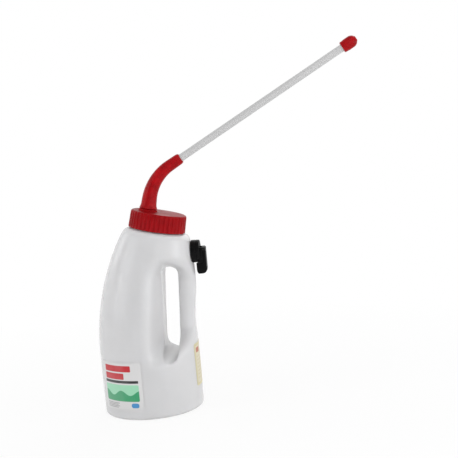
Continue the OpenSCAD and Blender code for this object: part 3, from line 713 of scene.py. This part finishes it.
# cap with its grip ribs
cap = {"inR": 41.6, "r": 45.8, "inH": 24.5, "h": 27.5, "taper": 1, "rounding": 4,
       "levels": (0.07, 0.1, 0.13, 0.3, 0.5, 0.7), "crown": (4, 12), "crownRise": 0.02,
       "ribs": 40, "grooveR": 3, "ribOut": 1.1, "ribTop": 4.5, "band": 1.2, "bandEase": 0.8, "steps": 480,
       "hole": 10.15, "holeOff": 17.86, "holeDeep": 12, "holeDrop": 1, "holeSides": 64}


def makeCapShell():
    side, top, crown = cap["r"] - cap["taper"], cap["h"], cap["h"] + cap["crownRise"]
    corners = [(0, cap["inH"], 0), (cap["inR"], cap["inH"], 0.8), (cap["inR"], 0, 0.4), (cap["r"], 0, 0.5)]
    corners += [(cap["r"] - cap["taper"] * u, top * u, 0) for u in cap["levels"]]
    corners += [(side, top, cap["rounding"]), (side - cap["crown"][0], top, 0), (side - cap["crown"][1], crown, 0),
                (0, crown, 0)]
    piece = spinOutline("capShell", roundedOutline(corners), cap["steps"])
    spacing = math.tau / cap["ribs"]
    for vert in piece.data.vertices:  # round grooves between the grip ribs
        r, z = math.hypot(vert.co.x, vert.co.y), vert.co.z
        wall = cap["r"] - cap["taper"] * min(1, z / (cap["h"] - cap["rounding"]))
        if r < side - cap["ribTop"] or z < cap["band"]:
            continue
        a = math.atan2(vert.co.y, vert.co.x)
        across = abs((a + spacing / 2) % spacing - spacing / 2) * wall
        if across < cap["grooveR"]:
            floor = wall - cap["ribOut"] + cap["grooveR"] - math.sqrt(cap["grooveR"] ** 2 - across ** 2)
            depth = max(0, wall - floor) * ease(cap["band"], cap["band"] + cap["bandEase"], z)
            keep = min(r, wall - depth) / r
            vert.co.x *= keep
            vert.co.y *= keep
    cutWith(piece, roundBar("spoutHole", cap["hole"], cap["holeDeep"], (-cap["holeOff"], 0, top - cap["holeDrop"]),
                            sides=cap["holeSides"]))
    putInPlace(piece, neckPlace, 40)
    finishPiece(piece, finishes["shadedRibbedRed"], "cap", "red_plastic", "screw_cap")


makeCapShell()
capThread = makeThread("capThread", cap["inR"], thread["root"], -1)
finishPiece(capThread, finishes["red"], "cap", "red_plastic", "screw_cap")

# bent spout that stands near the cap's front edge
spout = {"off": cap["holeOff"], "footR": 13, "mouthR": 8.91, "taper": 1.5, "start": 28.5, "rise": 19, "bendR": 78,
         "bend": 48, "lip": 2.45, "nose": 5.5, "noseTurn": 15, "noseOver": 0.02, "noseRoom": 1,
         "socket": 21, "socketR": 6.06, "seat": 19.2, "mouthEdge": 0.3, "channelR": 4.9, "channelStep": 3,
         "collarR": 15.2, "collarH": 2.4, "collarEdge": 0.9, "bead": (0.2, 0.05), "flareH": 9, "flareCurve": 2.4,
         "stubR": 10, "stubLow": 17.5, "stubEdge": 0.6, "stubRoom": 2, "skirt": 0.97, "skirtIn": (0.8, 0.7),
         "fineStep": 0.9, "fineTo": 12, "step": 1.8, "sides": 64}
spoutStraight = cap["h"] + spout["rise"] - spout["start"]
bendLength = spout["bendR"] * math.radians(spout["bend"])
spoutLength = spoutStraight + bendLength + spout["socket"]


def spoutTurn(d):
    return min(math.radians(spout["bend"]), max(0, (d - spoutStraight) / spout["bendR"]))


def spoutPoint(d):
    a = spoutTurn(d)
    reach = max(0, d - spoutStraight - bendLength)
    return Vector((-spout["off"] + spout["bendR"] * (1 - math.cos(a)) + reach * math.sin(a), 0,
                   spout["start"] + min(d, spoutStraight) + spout["bendR"] * math.sin(a) + reach * math.cos(a)))


def spoutRing(d, r):
    middle, a = spoutPoint(d), spoutTurn(d)
    turns = [k * math.tau / spout["sides"] for k in range(spout["sides"])]
    return [middle + Vector((r * math.cos(t) * math.cos(a), r * math.sin(t), -r * math.cos(t) * math.sin(a)))
            for t in turns]


def spoutRadius(d):
    plain = spout["mouthR"] + (spout["footR"] - spout["mouthR"]) * max(0, 1 - d / spoutLength) ** spout["taper"]
    if d <= spout["collarH"]:
        return plain
    flare = max(0, 1 - (d - spout["collarH"]) / spout["flareH"]) ** spout["flareCurve"]
    return plain + (spout["collarR"] - spout["footR"]) * flare


def makeSpoutElbow():
    low = spout["stubLow"] - spout["start"]
    stub, edge, collar, skirt = spout["stubR"], spout["stubEdge"], spout["collarR"], spout["skirt"]
    beadUp, beadOut = spout["bead"]
    rings = [(low, stub - edge), (low + edge, stub), (0, stub), (0, collar - spout["skirtIn"][0]),
             (-skirt, collar - spout["skirtIn"][1]), (-skirt, collar), (beadUp, collar + beadOut),
             (spout["collarH"] - spout["collarEdge"], collar)]
    along = spout["collarH"]
    while along < spoutLength - spout["nose"] - spout["noseRoom"]:
        rings.append((along, spoutRadius(along)))
        along += spout["fineStep"] if along < spout["fineTo"] else spout["step"]
    for turn in range(0, 91, spout["noseTurn"]):
        a = math.radians(turn)
        rings.append((spoutLength - spout["nose"] * (1 - math.sin(a)),
                      spout["mouthR"] - spout["lip"] * (1 - math.cos(a)) + spout["noseOver"]))
    inner, mouthEdge, channel = spout["socketR"], spout["mouthEdge"], spout["channelR"]
    rings += [(spoutLength, inner + mouthEdge), (spoutLength - mouthEdge, inner),
              (spoutLength - spout["seat"], inner), (spoutLength - spout["seat"], channel)]
    along = spoutLength - spout["socket"]
    while along > low + spout["stubRoom"]:
        rings.append((along, channel))
        along -= spout["channelStep"]
    rings += [(low, channel), (low, stub - edge)]
    piece = raiseRings("spoutElbow", [spoutRing(d, r) for d, r in rings])
    putInPlace(piece, neckPlace, 40)
    finishPiece(piece, finishes["red"], "cap", "red_plastic", "spout_elbow")


makeSpoutElbow()

# tube and the bulb on its end
tubeTurn = Matrix.Rotation(math.radians(spout["bend"]), 4, "Y")
tubePlace = neckPlace @ Matrix.Translation(spoutPoint(spoutLength)) @ tubeTurn
tube = {"r": 6, "bore": 4.5, "show": 306, "inSpout": 19, "inTip": 15, "lengths": 60, "endLength": 3,
        "outEdge": 0.6, "boreEdge": 0.4, "steps": 64}
bulb = {"bore": 6.06, "seat": 15.2, "rear": 9.06, "r": 9.66, "length": 26, "lip": 1.5, "lipTurn": 18, "boreEdge": 0.5,
        "widest": 2.6, "swellSteps": 8, "nose": 1.04, "noseSteps": 15,
        "outlet": 3.6, "outletEdge": 0.5, "outletDrop": (0.35, 0.9), "steps": 96}


def makeProbeTube():
    low, high = -tube["inSpout"], tube["show"] + tube["inTip"]
    first, run = low + tube["endLength"], high - low - 2 * tube["endLength"]
    stops = [first + k * run / tube["lengths"] for k in range(tube["lengths"] + 1)]
    corners = [(tube["bore"], low, tube["boreEdge"]), (tube["r"], low, tube["outEdge"])]
    corners += [(tube["r"], z, 0) for z in stops]
    corners += [(tube["r"], high, tube["outEdge"]), (tube["bore"], high, tube["boreEdge"])]
    corners += [(tube["bore"], z, 0) for z in reversed(stops)]
    piece = spinOutline("probeTube", roundedOutline(corners, 3), tube["steps"])
    putInPlace(piece, tubePlace, 40)
    finishPiece(piece, finishes["tube"], "tube", "tube_plastic", "probe_tube")


def makeProbeBulb():
    length, wide, rear, lip, outlet = bulb["length"], bulb["r"], bulb["rear"], bulb["lip"], bulb["outlet"]
    outline = [(bulb["bore"], bulb["seat"]), (bulb["bore"], bulb["boreEdge"]), (bulb["bore"] + bulb["boreEdge"], 0)]
    for turn in range(0, 91, bulb["lipTurn"]):
        a = math.radians(turn)
        outline.append((rear - lip * (1 - math.sin(a)), lip * (1 - math.cos(a))))
    for k in range(1, bulb["swellSteps"] + 1):
        u = k / bulb["swellSteps"]
        outline.append((rear + (wide - rear) * ease(0, 1, u), lip + u * (length / bulb["widest"] - lip)))
    nose = length - wide * bulb["nose"]
    for k in range(1, bulb["noseSteps"]):
        a = math.radians(90 * k / bulb["noseSteps"])
        outline.append((wide * math.cos(a), nose + (length - nose) * math.sin(a)))
    rim = outlet + bulb["outletEdge"]
    outline = [p for p in outline if p[0] > rim or p[1] < bulb["seat"]]
    outline += [(rim, length - bulb["outletDrop"][0]), (outlet, length - bulb["outletDrop"][1]), (outlet, bulb["seat"])]
    piece = spinOutline("probeBulb", outline, bulb["steps"])
    putInPlace(piece, tubePlace @ Matrix.Translation((0, 0, tube["show"])), 40)
    finishPiece(piece, finishes["red"], "tip", "red_plastic", "probe_tip")


makeProbeTube()
makeProbeBulb()

# air valve, drawn about its own axis
vent = {"r": 18.2, "back": 1.5, "face": 15, "groove": (6.6, 7.1, 7.7, 8.2), "grooveIn": 0.5, "draft": (0.1, 0.3),
        "rim": (3.4, 4), "dish": 0.5, "stubR": 9, "stubEnd": -10.6, "stemDrop": 4, "air": 3.6, "chamber": 5.6,
        "chamberFloor": 4, "drillOver": 2, "drillSides": 48, "pivotUp": 3.4, "pivotOut": 20.8, "pinR": 1.56,
        "pinReach": 30, "earR": 3, "earT": 3, "earMid": 10.9, "earSink": 1.5, "earBevel": 0.5,
        "cheekLow": 17.5, "cheekOut": 18.8, "cheekSink": 2, "cheekThin": 0.02, "cheekCorner": 1, "cheekBevel": 0.4}


def cutRound(piece, r, low, high, place):
    tool = roundBar("drill", r, high - low, (0, 0, (low + high) / 2), sides=vent["drillSides"])
    tool.data.transform(place)
    cutWith(piece, tool)


# low wall that closes the gap beside the lever, down from the ear
def makeCheek(side):
    deselect()
    bpy.ops.mesh.primitive_cube_add(size=1)
    piece = added("cheek")
    editPiece(piece)
    bpy.ops.mesh.select_all(action="SELECT")
    low, out = vent["face"] - vent["cheekSink"], vent["cheekOut"]
    bpy.ops.transform.resize(value=(vent["pivotUp"] + vent["cheekLow"], vent["earT"] - vent["cheekThin"], out - low))
    drop = (vent["cheekLow"] - vent["pivotUp"]) / 2
    bpy.ops.transform.translate(value=(drop, side * vent["earMid"], (out + low) / 2))
    selectVerts(piece, lambda co: co.x > 0 and co.z > vent["face"])
    bpy.ops.mesh.bevel(offset=vent["cheekCorner"], segments=5)
    leaveEdit()
    bevelEdges(piece, vent["cheekBevel"])
    return piece


def makeVentHousing():
    r, back, face, dish = vent["r"], vent["back"], vent["face"], vent["face"] - vent["dish"]
    grooveLow, floorLow, floorHigh, grooveHigh = (back + up for up in vent["groove"])
    floor, stub, stubEnd = r - vent["grooveIn"], vent["stubR"], vent["stubEnd"]
    lowSide, highSide = (r - draft for draft in vent["draft"])
    rimOut, rimIn = (r - width for width in vent["rim"])
    corners = [(0, stubEnd, 0), (stub, stubEnd, 0.6), (stub, back, 0), (r, back, 0.8), (r, grooveLow, 0.3),
               (floor, floorLow, 0.2), (floor, floorHigh, 0.2), (lowSide, grooveHigh, 0.3), (highSide, face, 1.6),
               (rimOut, face, 0.3), (rimIn, dish, 0.3), (0, dish, 0)]
    piece = spinOutline("ventHousing", roundedOutline(corners, 4), 128)
    for side in (-1, 1):
        ear = slotBar("ear", vent["earR"], vent["earT"], (-vent["pivotUp"], side * vent["earMid"], vent["pivotOut"]),
                      (0, face - vent["earSink"] - vent["pivotOut"]), 48)
        bevelEdges(ear, vent["earBevel"])
        cutWith(piece, ear, "UNION")
        cutWith(piece, makeCheek(side), "UNION")
    stemPlace = Matrix.Translation((vent["stemDrop"], 0, 0))
    pinPlace = Matrix.Translation((-vent["pivotUp"], 0, vent["pivotOut"])) @ Matrix.Rotation(quarter, 4, "X")
    over = vent["drillOver"]
    cutRound(piece, vent["air"], vent["stubEnd"] - over, face + over, stemPlace)
    cutRound(piece, vent["chamber"], vent["chamberFloor"], face + over, stemPlace)
    cutRound(piece, vent["pinR"], -vent["pinReach"], vent["pinReach"], pinPlace)
    putInPlace(piece, valvePlace, 38)
    finishPiece(piece, finishes["black"], "bottle", "black_plastic", "vent_housing")


lever = {"face": 17.6, "out": 24, "inner": 7.8, "top": 6.4, "low": -36, "step": -17.97, "corner": 8, "width": 18,
         "slant": (2.3, 4.5), "bevel": 0.9, "hollowR": 20.15, "hollowOut": 17.9, "drill": 40,
         "nose": (19.1, -4, 2.5), "noseInset": 3, "noseBevel": 0.6}


def makeVentLever():
    x0, x1, inner, low = lever["face"], lever["out"], lever["inner"], lever["low"]
    slantIn, slantUp = lever["slant"]
    corners = [(x0, lever["top"], 1.6), (x1, lever["top"], 2.4), (x1, low, lever["corner"]), (inner + slantIn, low, 1),
               (inner, low + slantUp, 1.2), (inner, lever["step"], 1.4), (x0, lever["step"], 0.8)]
    outline = roundedOutline(corners, 8)
    deselect()
    bpy.ops.mesh.primitive_circle_add(vertices=len(outline), radius=1, fill_type="NGON")
    piece = added("ventLever")
    mesh = editPiece(piece)
    mesh.verts.ensure_lookup_table()
    for vert, (x, z) in zip(mesh.verts, outline):
        vert.co = (x, -lever["width"] / 2, z)
    bmesh.update_edit_mesh(piece.data)
    bpy.ops.mesh.select_all(action="SELECT")
    bpy.ops.mesh.extrude_region_move(TRANSFORM_OT_translate={"value": (0, lever["width"], 0)})
    bpy.ops.mesh.select_all(action="SELECT")
    bpy.ops.mesh.normals_make_consistent(inside=False)
    leaveEdit()
    bevelEdges(piece, lever["bevel"], 4, 60)
    along, across = (0, quarter, 0), (quarter, 0, 0)  # turns of a bar, along the valve or across the lever
    cutWith(piece, roundBar("hollow", lever["hollowR"], lever["hollowOut"], (lever["hollowOut"] / 2, 0, 0), along))
    noseX, noseZ, noseR = lever["nose"]
    nose = roundBar("nose", noseR, lever["width"] - lever["noseInset"], (noseX, 0, noseZ), across)
    bevelEdges(nose, lever["noseBevel"])
    cutWith(piece, nose, "UNION")
    cutWith(piece, roundBar("drill", vent["pinR"], lever["drill"], (vent["pivotOut"], 0, vent["pivotUp"]), across))
    putInPlace(piece, Matrix.Translation((valve["x"], 0, valve["z"])), 38)
    finishPiece(piece, finishes["black"], "lever", "black_plastic", "vent_lever")


spring = {"r": 4.4, "wire": 0.8, "low": 4.55, "high": 12.85, "turns": 5, "steps": 32, "sides": 12, "push": 0.65}


def makeVentSpring():
    rings, count = [], spring["turns"] * spring["steps"]
    for i in range(count + 1):
        a = i * math.tau / spring["steps"]
        z = spring["low"] + (spring["high"] - spring["low"]) * i / count
        ring = []
        for k in range(spring["sides"]):
            t = k * math.tau / spring["sides"]
            r = spring["r"] + spring["wire"] / 2 * math.sin(t)
            ring.append((vent["stemDrop"] + r * math.cos(a), r * math.sin(a), z + spring["wire"] / 2 * math.cos(t)))
        rings.append(ring)
    piece = raiseRings("ventSpring", rings, capped=True)
    putInPlace(piece, valvePlace, 60)
    finishPiece(piece, finishes["steel"], "bottle", "steel", "vent_spring")
    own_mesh(piece)


makeVentHousing()
makeVentLever()
makeVentSpring()

# stickers, cut flat and bent round the jug
label = {"r": 80.1, "thick": 0.25, "corner": 4, "strips": 36}
frontLabel = {"low": 17, "height": 76, "mid": 238, "span": 58}
rearLabel = {"low": 36, "height": 68, "mid": 0, "span": 40}


def makeLabel(name, size, finish, slot, node):
    width = label["r"] * math.radians(size["span"])
    deselect()
    bpy.ops.mesh.primitive_plane_add(size=1)
    piece = added(name)
    editPiece(piece)
    bpy.ops.mesh.select_all(action="SELECT")
    bpy.ops.transform.resize(value=(width, size["height"], 1))
    bpy.ops.mesh.bevel(affect="VERTICES", offset=label["corner"], segments=6)
    for k in range(1, label["strips"]):  # strips, so that the sheet can be bent round the jug
        bpy.ops.mesh.select_all(action="SELECT")
        bpy.ops.mesh.bisect(plane_co=(width * (k / label["strips"] - 0.5), 0, 0), plane_no=(1, 0, 0))
    mesh = bmesh.from_edit_mesh(piece.data)
    layer = mesh.loops.layers.uv.verify()
    for face in mesh.faces:
        for loop in face.loops:
            loop[layer].uv = (loop.vert.co.x / width + 0.5, loop.vert.co.y / size["height"] + 0.5)
    for vert in mesh.verts:
        a = math.radians(size["mid"]) + vert.co.x / label["r"]
        up = size["low"] + size["height"] / 2 + vert.co.y
        vert.co = (label["r"] * math.cos(a), label["r"] * math.sin(a), up)
    bmesh.update_edit_mesh(piece.data)
    bpy.ops.mesh.select_all(action="SELECT")
    bpy.ops.mesh.normals_make_consistent(inside=False)
    leaveEdit()
    outwards = sum(p.normal.dot(p.center.xy.to_3d()) for p in piece.data.polygons)
    if outwards < 0:
        piece.data.flip_normals()
    useModifier(piece, "SOLIDIFY", thickness=label["thick"], offset=1)
    putInPlace(piece, Matrix.Identity(4), 50)
    finishPiece(piece, finish, "bottle", slot, node)


def labelPlaces(tree):
    return split(tree, addNode(tree, "ShaderNodeUVMap").outputs["UV"])


# boxes are given by their middle, half size and corner, as shares of the label
def printMask(tree, uv, mid, half, corner):
    return useGroup(tree, printedBox, U=uv["X"], V=uv["Y"], MidU=mid[0], MidV=mid[1], HalfU=half[0], HalfV=half[1],
                    Corner=corner)["Mask"]


def printBox(tree, uv, colour, ink, box):
    return blendColours(tree, printMask(tree, uv, *box), colour, ink)


sticker = {"grain": 1600.0, "wave": 60.0, "bumpDeep": 0.0002}


# printed film or paper, faded a little where it is rubbed
def finishPrint(tree, shader, colour, ground, values):
    skin = useGroup(tree, mouldSkin, Grain=sticker["grain"], Wave=sticker["wave"])
    faded = spread(tree, skin["Rubbed"], 0.0, 1.0, 0.0, values["faded"])
    feed(tree, blendColours(tree, faded, colour, ground), shader.inputs["Base Color"])
    feed(tree, rubbedRough(tree, skin, values["rough"]), shader.inputs["Roughness"])
    addBump(tree, shader, skin["Height"], values["bump"], sticker["bumpDeep"])


inks = {"red": (0.48, 0.012, 0.022, 1), "black": (0.012, 0.012, 0.013, 1), "green": (0.03, 0.30, 0.13, 1),
        "pale": (0.30, 0.62, 0.42, 1), "blue": (0.05, 0.24, 0.5, 1), "grey": (0.2, 0.2, 0.21, 1),
        "film": (0.615, 0.61, 0.613, 1)}
frontPrint = {"bars": (("red", ((0.44, 0.87), (0.34, 0.065), 0.02)), ("red", ((0.36, 0.71), (0.26, 0.065), 0.02)),
                       ("black", ((0.5, 0.595), (0.42, 0.028), 0.004))),
              "panel": ((0.5, 0.36), (0.42, 0.175), 0.03), "hillTurns": 15.0, "hillRise": 0.05, "hillMid": 0.36,
              "hillEdge": 0.004, "lines": 4, "lineMid": 0.28, "lineTop": 0.14, "linePitch": 0.03, "lineHalf": 0.18,
              "lineShift": 0.02, "lineThin": 0.006, "lineCorner": 0.003, "mark": ((0.82, 0.1), (0.08, 0.05), 0.045),
              "faded": 0.08, "rough": (0.38, 0.28), "bump": 0.12}


# plain sticker on clear film: two red bars, a black rule, a green panel with hills, a few grey lines
def makeFrontPrint():
    material, tree, shader = newFinish("frontPrint")
    uv = labelPlaces(tree)
    colour = inks["film"]
    for ink, box in frontPrint["bars"]:
        colour = printBox(tree, uv, colour, inks[ink], box)
    waves = sums(tree, "SINE", sums(tree, "MULTIPLY", uv["X"], frontPrint["hillTurns"]))
    hills = sums(tree, "MULTIPLY_ADD", waves, frontPrint["hillRise"], frontPrint["hillMid"])
    edge = frontPrint["hillEdge"]
    sky = spread(tree, sums(tree, "SUBTRACT", uv["Y"], hills), -edge, edge, 0.0, 1.0)
    scenery = blendColours(tree, sky, inks["green"], inks["pale"])
    colour = printBox(tree, uv, colour, scenery, frontPrint["panel"])
    for k in range(frontPrint["lines"]):
        shift = frontPrint["lineShift"] * (k % 2)  # every second line is shorter
        box = ((frontPrint["lineMid"] - shift, frontPrint["lineTop"] - frontPrint["linePitch"] * k),
               (frontPrint["lineHalf"] - shift, frontPrint["lineThin"]), frontPrint["lineCorner"])
        colour = printBox(tree, uv, colour, inks["grey"], box)
    colour = printBox(tree, uv, colour, inks["blue"], frontPrint["mark"])
    finishPrint(tree, shader, colour, inks["film"], frontPrint)
    return material


paper = {"yellow": (0.58, 0.53, 0.31, 1), "pale": (0.6, 0.56, 0.42, 1), "line": (0.45, 0.36, 0.17, 1),
         "mark": (0.42, 0.12, 0.07, 1)}
rearPrint = {"boxes": (("line", ((0.5, 0.5), (0.44, 0.455), 0.03)), ("pale", ((0.5, 0.5), (0.43, 0.447), 0.025)),
                       ("mark", ((0.24, 0.84), (0.13, 0.06), 0.02))),
             "lines": 7, "lineStart": 0.14, "lineTop": 0.68, "linePitch": 0.085, "lineLong": 0.34, "lineShort": 0.26,
             "lineThin": 0.006, "lineCorner": 0.003, "faded": 0.1, "rough": (0.5, 0.4), "bump": 0.15}


# plain yellow sticker with a paler field, ruled lines and a reddish block
def makeRearPrint():
    material, tree, shader = newFinish("rearPrint")
    uv = labelPlaces(tree)
    colour = paper["yellow"]
    for ink, box in rearPrint["boxes"]:
        colour = printBox(tree, uv, colour, paper[ink], box)
    for k in range(rearPrint["lines"]):
        reach = rearPrint["lineLong"] if k % 3 else rearPrint["lineShort"]
        box = ((rearPrint["lineStart"] + reach, rearPrint["lineTop"] - rearPrint["linePitch"] * k),
               (reach, rearPrint["lineThin"]), rearPrint["lineCorner"])
        colour = printBox(tree, uv, colour, paper["line"], box)
    finishPrint(tree, shader, colour, paper["pale"], rearPrint)
    return material


makeLabel("frontLabel", frontLabel, makeFrontPrint(), "front_label", "front_label")
makeLabel("rearLabel", rearLabel, makeRearPrint(), "rear_label", "rear_label")

# small solids that stay as they are
kept = {"cap_liner": "foam", "spout_washer": "rubber", "spout_nut": "red", "tube_seal": "rubber",
        "vent_gasket": "rubber", "vent_nut": "black", "vent_pin": "blackSteel", "vent_plunger": "stem",
        "vent_seal": "rubber", "vent_button": "black"}
for name, finish in kept.items():
    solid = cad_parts[name]
    solid.data.materials.clear()
    solid.data.materials.append(finishes[finish])
print("solids finished:", len(kept))

# floor, light and camera, in metres; a lamp has its place, width and power
studio = {"floor": 30, "floorColour": (0.86, 0.86, 0.86, 1), "floorRough": 0.9, "floorWhite": (0.86, 1.0),
          "shadowReach": (0.22, 0.9), "sky": 0.72, "room": 0.06, "roomEdge": (-0.2, 0.3), "aim": (0.05, 0, 0.2),
          "lamps": {"keyLamp": ((-1.9, -0.9, 0.9), 1.3, 11), "fillLamp": ((1.2, -1.9, 0.5), 1.3, 8),
                    "rightLamp": ((2.1, -0.6, 0.15), 1.3, 19), "sideLamp": ((-1.6, 0.7, 0.9), 0.6, 2),
                    "topLamp": ((0.4, -1.3, 1.8), 1.3, 6), "backLamp": ((0.6, 1.6, 1.3), 1.4, 5)}}
cameraAt = {"place": (0.2665, -1.6363, 0.456), "right": (0.9939, 0.0634, -0.0901), "up": (0.0826, 0.1120, 0.9902),
            "back": (0.07283, -0.99168, 0.10609), "lens": 81.17, "sensor": 36}


def makeFloor():
    deselect()
    bpy.ops.mesh.primitive_plane_add(size=studio["floor"])
    floor = added("floor")
    material, tree, shader = newFinish("paleFloor")
    shader.inputs["Base Color"].default_value = studio["floorColour"]
    shader.inputs["Roughness"].default_value = studio["floorRough"]
    path = addNode(tree, "ShaderNodeLightPath")
    white = addNode(tree, "ShaderNodeEmission")
    mixed = addNode(tree, "ShaderNodeMixShader")
    seen = sums(tree, "MAXIMUM", path.outputs["Is Camera Ray"], path.outputs["Is Glossy Ray"])
    away = addNode(tree, "ShaderNodeVectorMath", operation="LENGTH")  # the floor runs out to white past the shadow
    feed(tree, objectPlace(tree), away.inputs[0])
    paling = spread(tree, away.outputs["Value"], *studio["shadowReach"], *studio["floorWhite"])
    feed(tree, sums(tree, "MULTIPLY", seen, paling), mixed.inputs[0])
    tree.links.new(shader.outputs[0], mixed.inputs[1])
    tree.links.new(white.outputs[0], mixed.inputs[2])
    tree.links.new(mixed.outputs[0], tree.nodes["Material Output"].inputs["Surface"])
    floor.data.materials.append(material)


def makeLight():
    world = bpy.data.worlds.new("studio")
    bpy.context.scene.world = world
    world.use_nodes = True
    tree = world.node_tree
    path = addNode(tree, "ShaderNodeLightPath")
    mirrored = sums(tree, "MAXIMUM", path.outputs["Is Glossy Ray"], path.outputs["Is Transmission Ray"])
    towards = split(tree, addNode(tree, "ShaderNodeTexCoord").outputs["Generated"])["Y"]
    around = spread(tree, towards, *studio["roomEdge"], studio["room"], 1.0)  # white behind, a dimmer room in front
    strength = spread(tree, mirrored, 0.0, 1.0, studio["sky"], around)
    sky = tree.nodes["Background"]
    sky.inputs["Color"].default_value = (1, 1, 1, 1)
    feed(tree, spread(tree, path.outputs["Is Camera Ray"], 0.0, 1.0, strength, 1.0), sky.inputs["Strength"])
    for name, (place, size, power) in studio["lamps"].items():
        bpy.ops.object.light_add(type="AREA", location=place)
        lamp = added(name)
        lamp.data.size = size
        lamp.data.energy = power
        lamp.rotation_euler = (Vector(place) - Vector(studio["aim"])).to_track_quat("Z", "Y").to_euler()


def makeCamera():
    bpy.ops.object.camera_add()
    camera = added("photoCamera")
    columns = [Vector(cameraAt[key]).normalized() for key in ("right", "up", "back")]
    camera.matrix_world = Matrix.Translation(cameraAt["place"]) @ Matrix(columns).transposed().to_4x4()
    camera.data.lens = cameraAt["lens"]
    camera.data.sensor_width = cameraAt["sensor"]
    bpy.context.scene.camera = camera


makeFloor()
makeLight()
makeCamera()
bpy.context.scene.view_settings.view_transform = "Standard"
print("stage set")
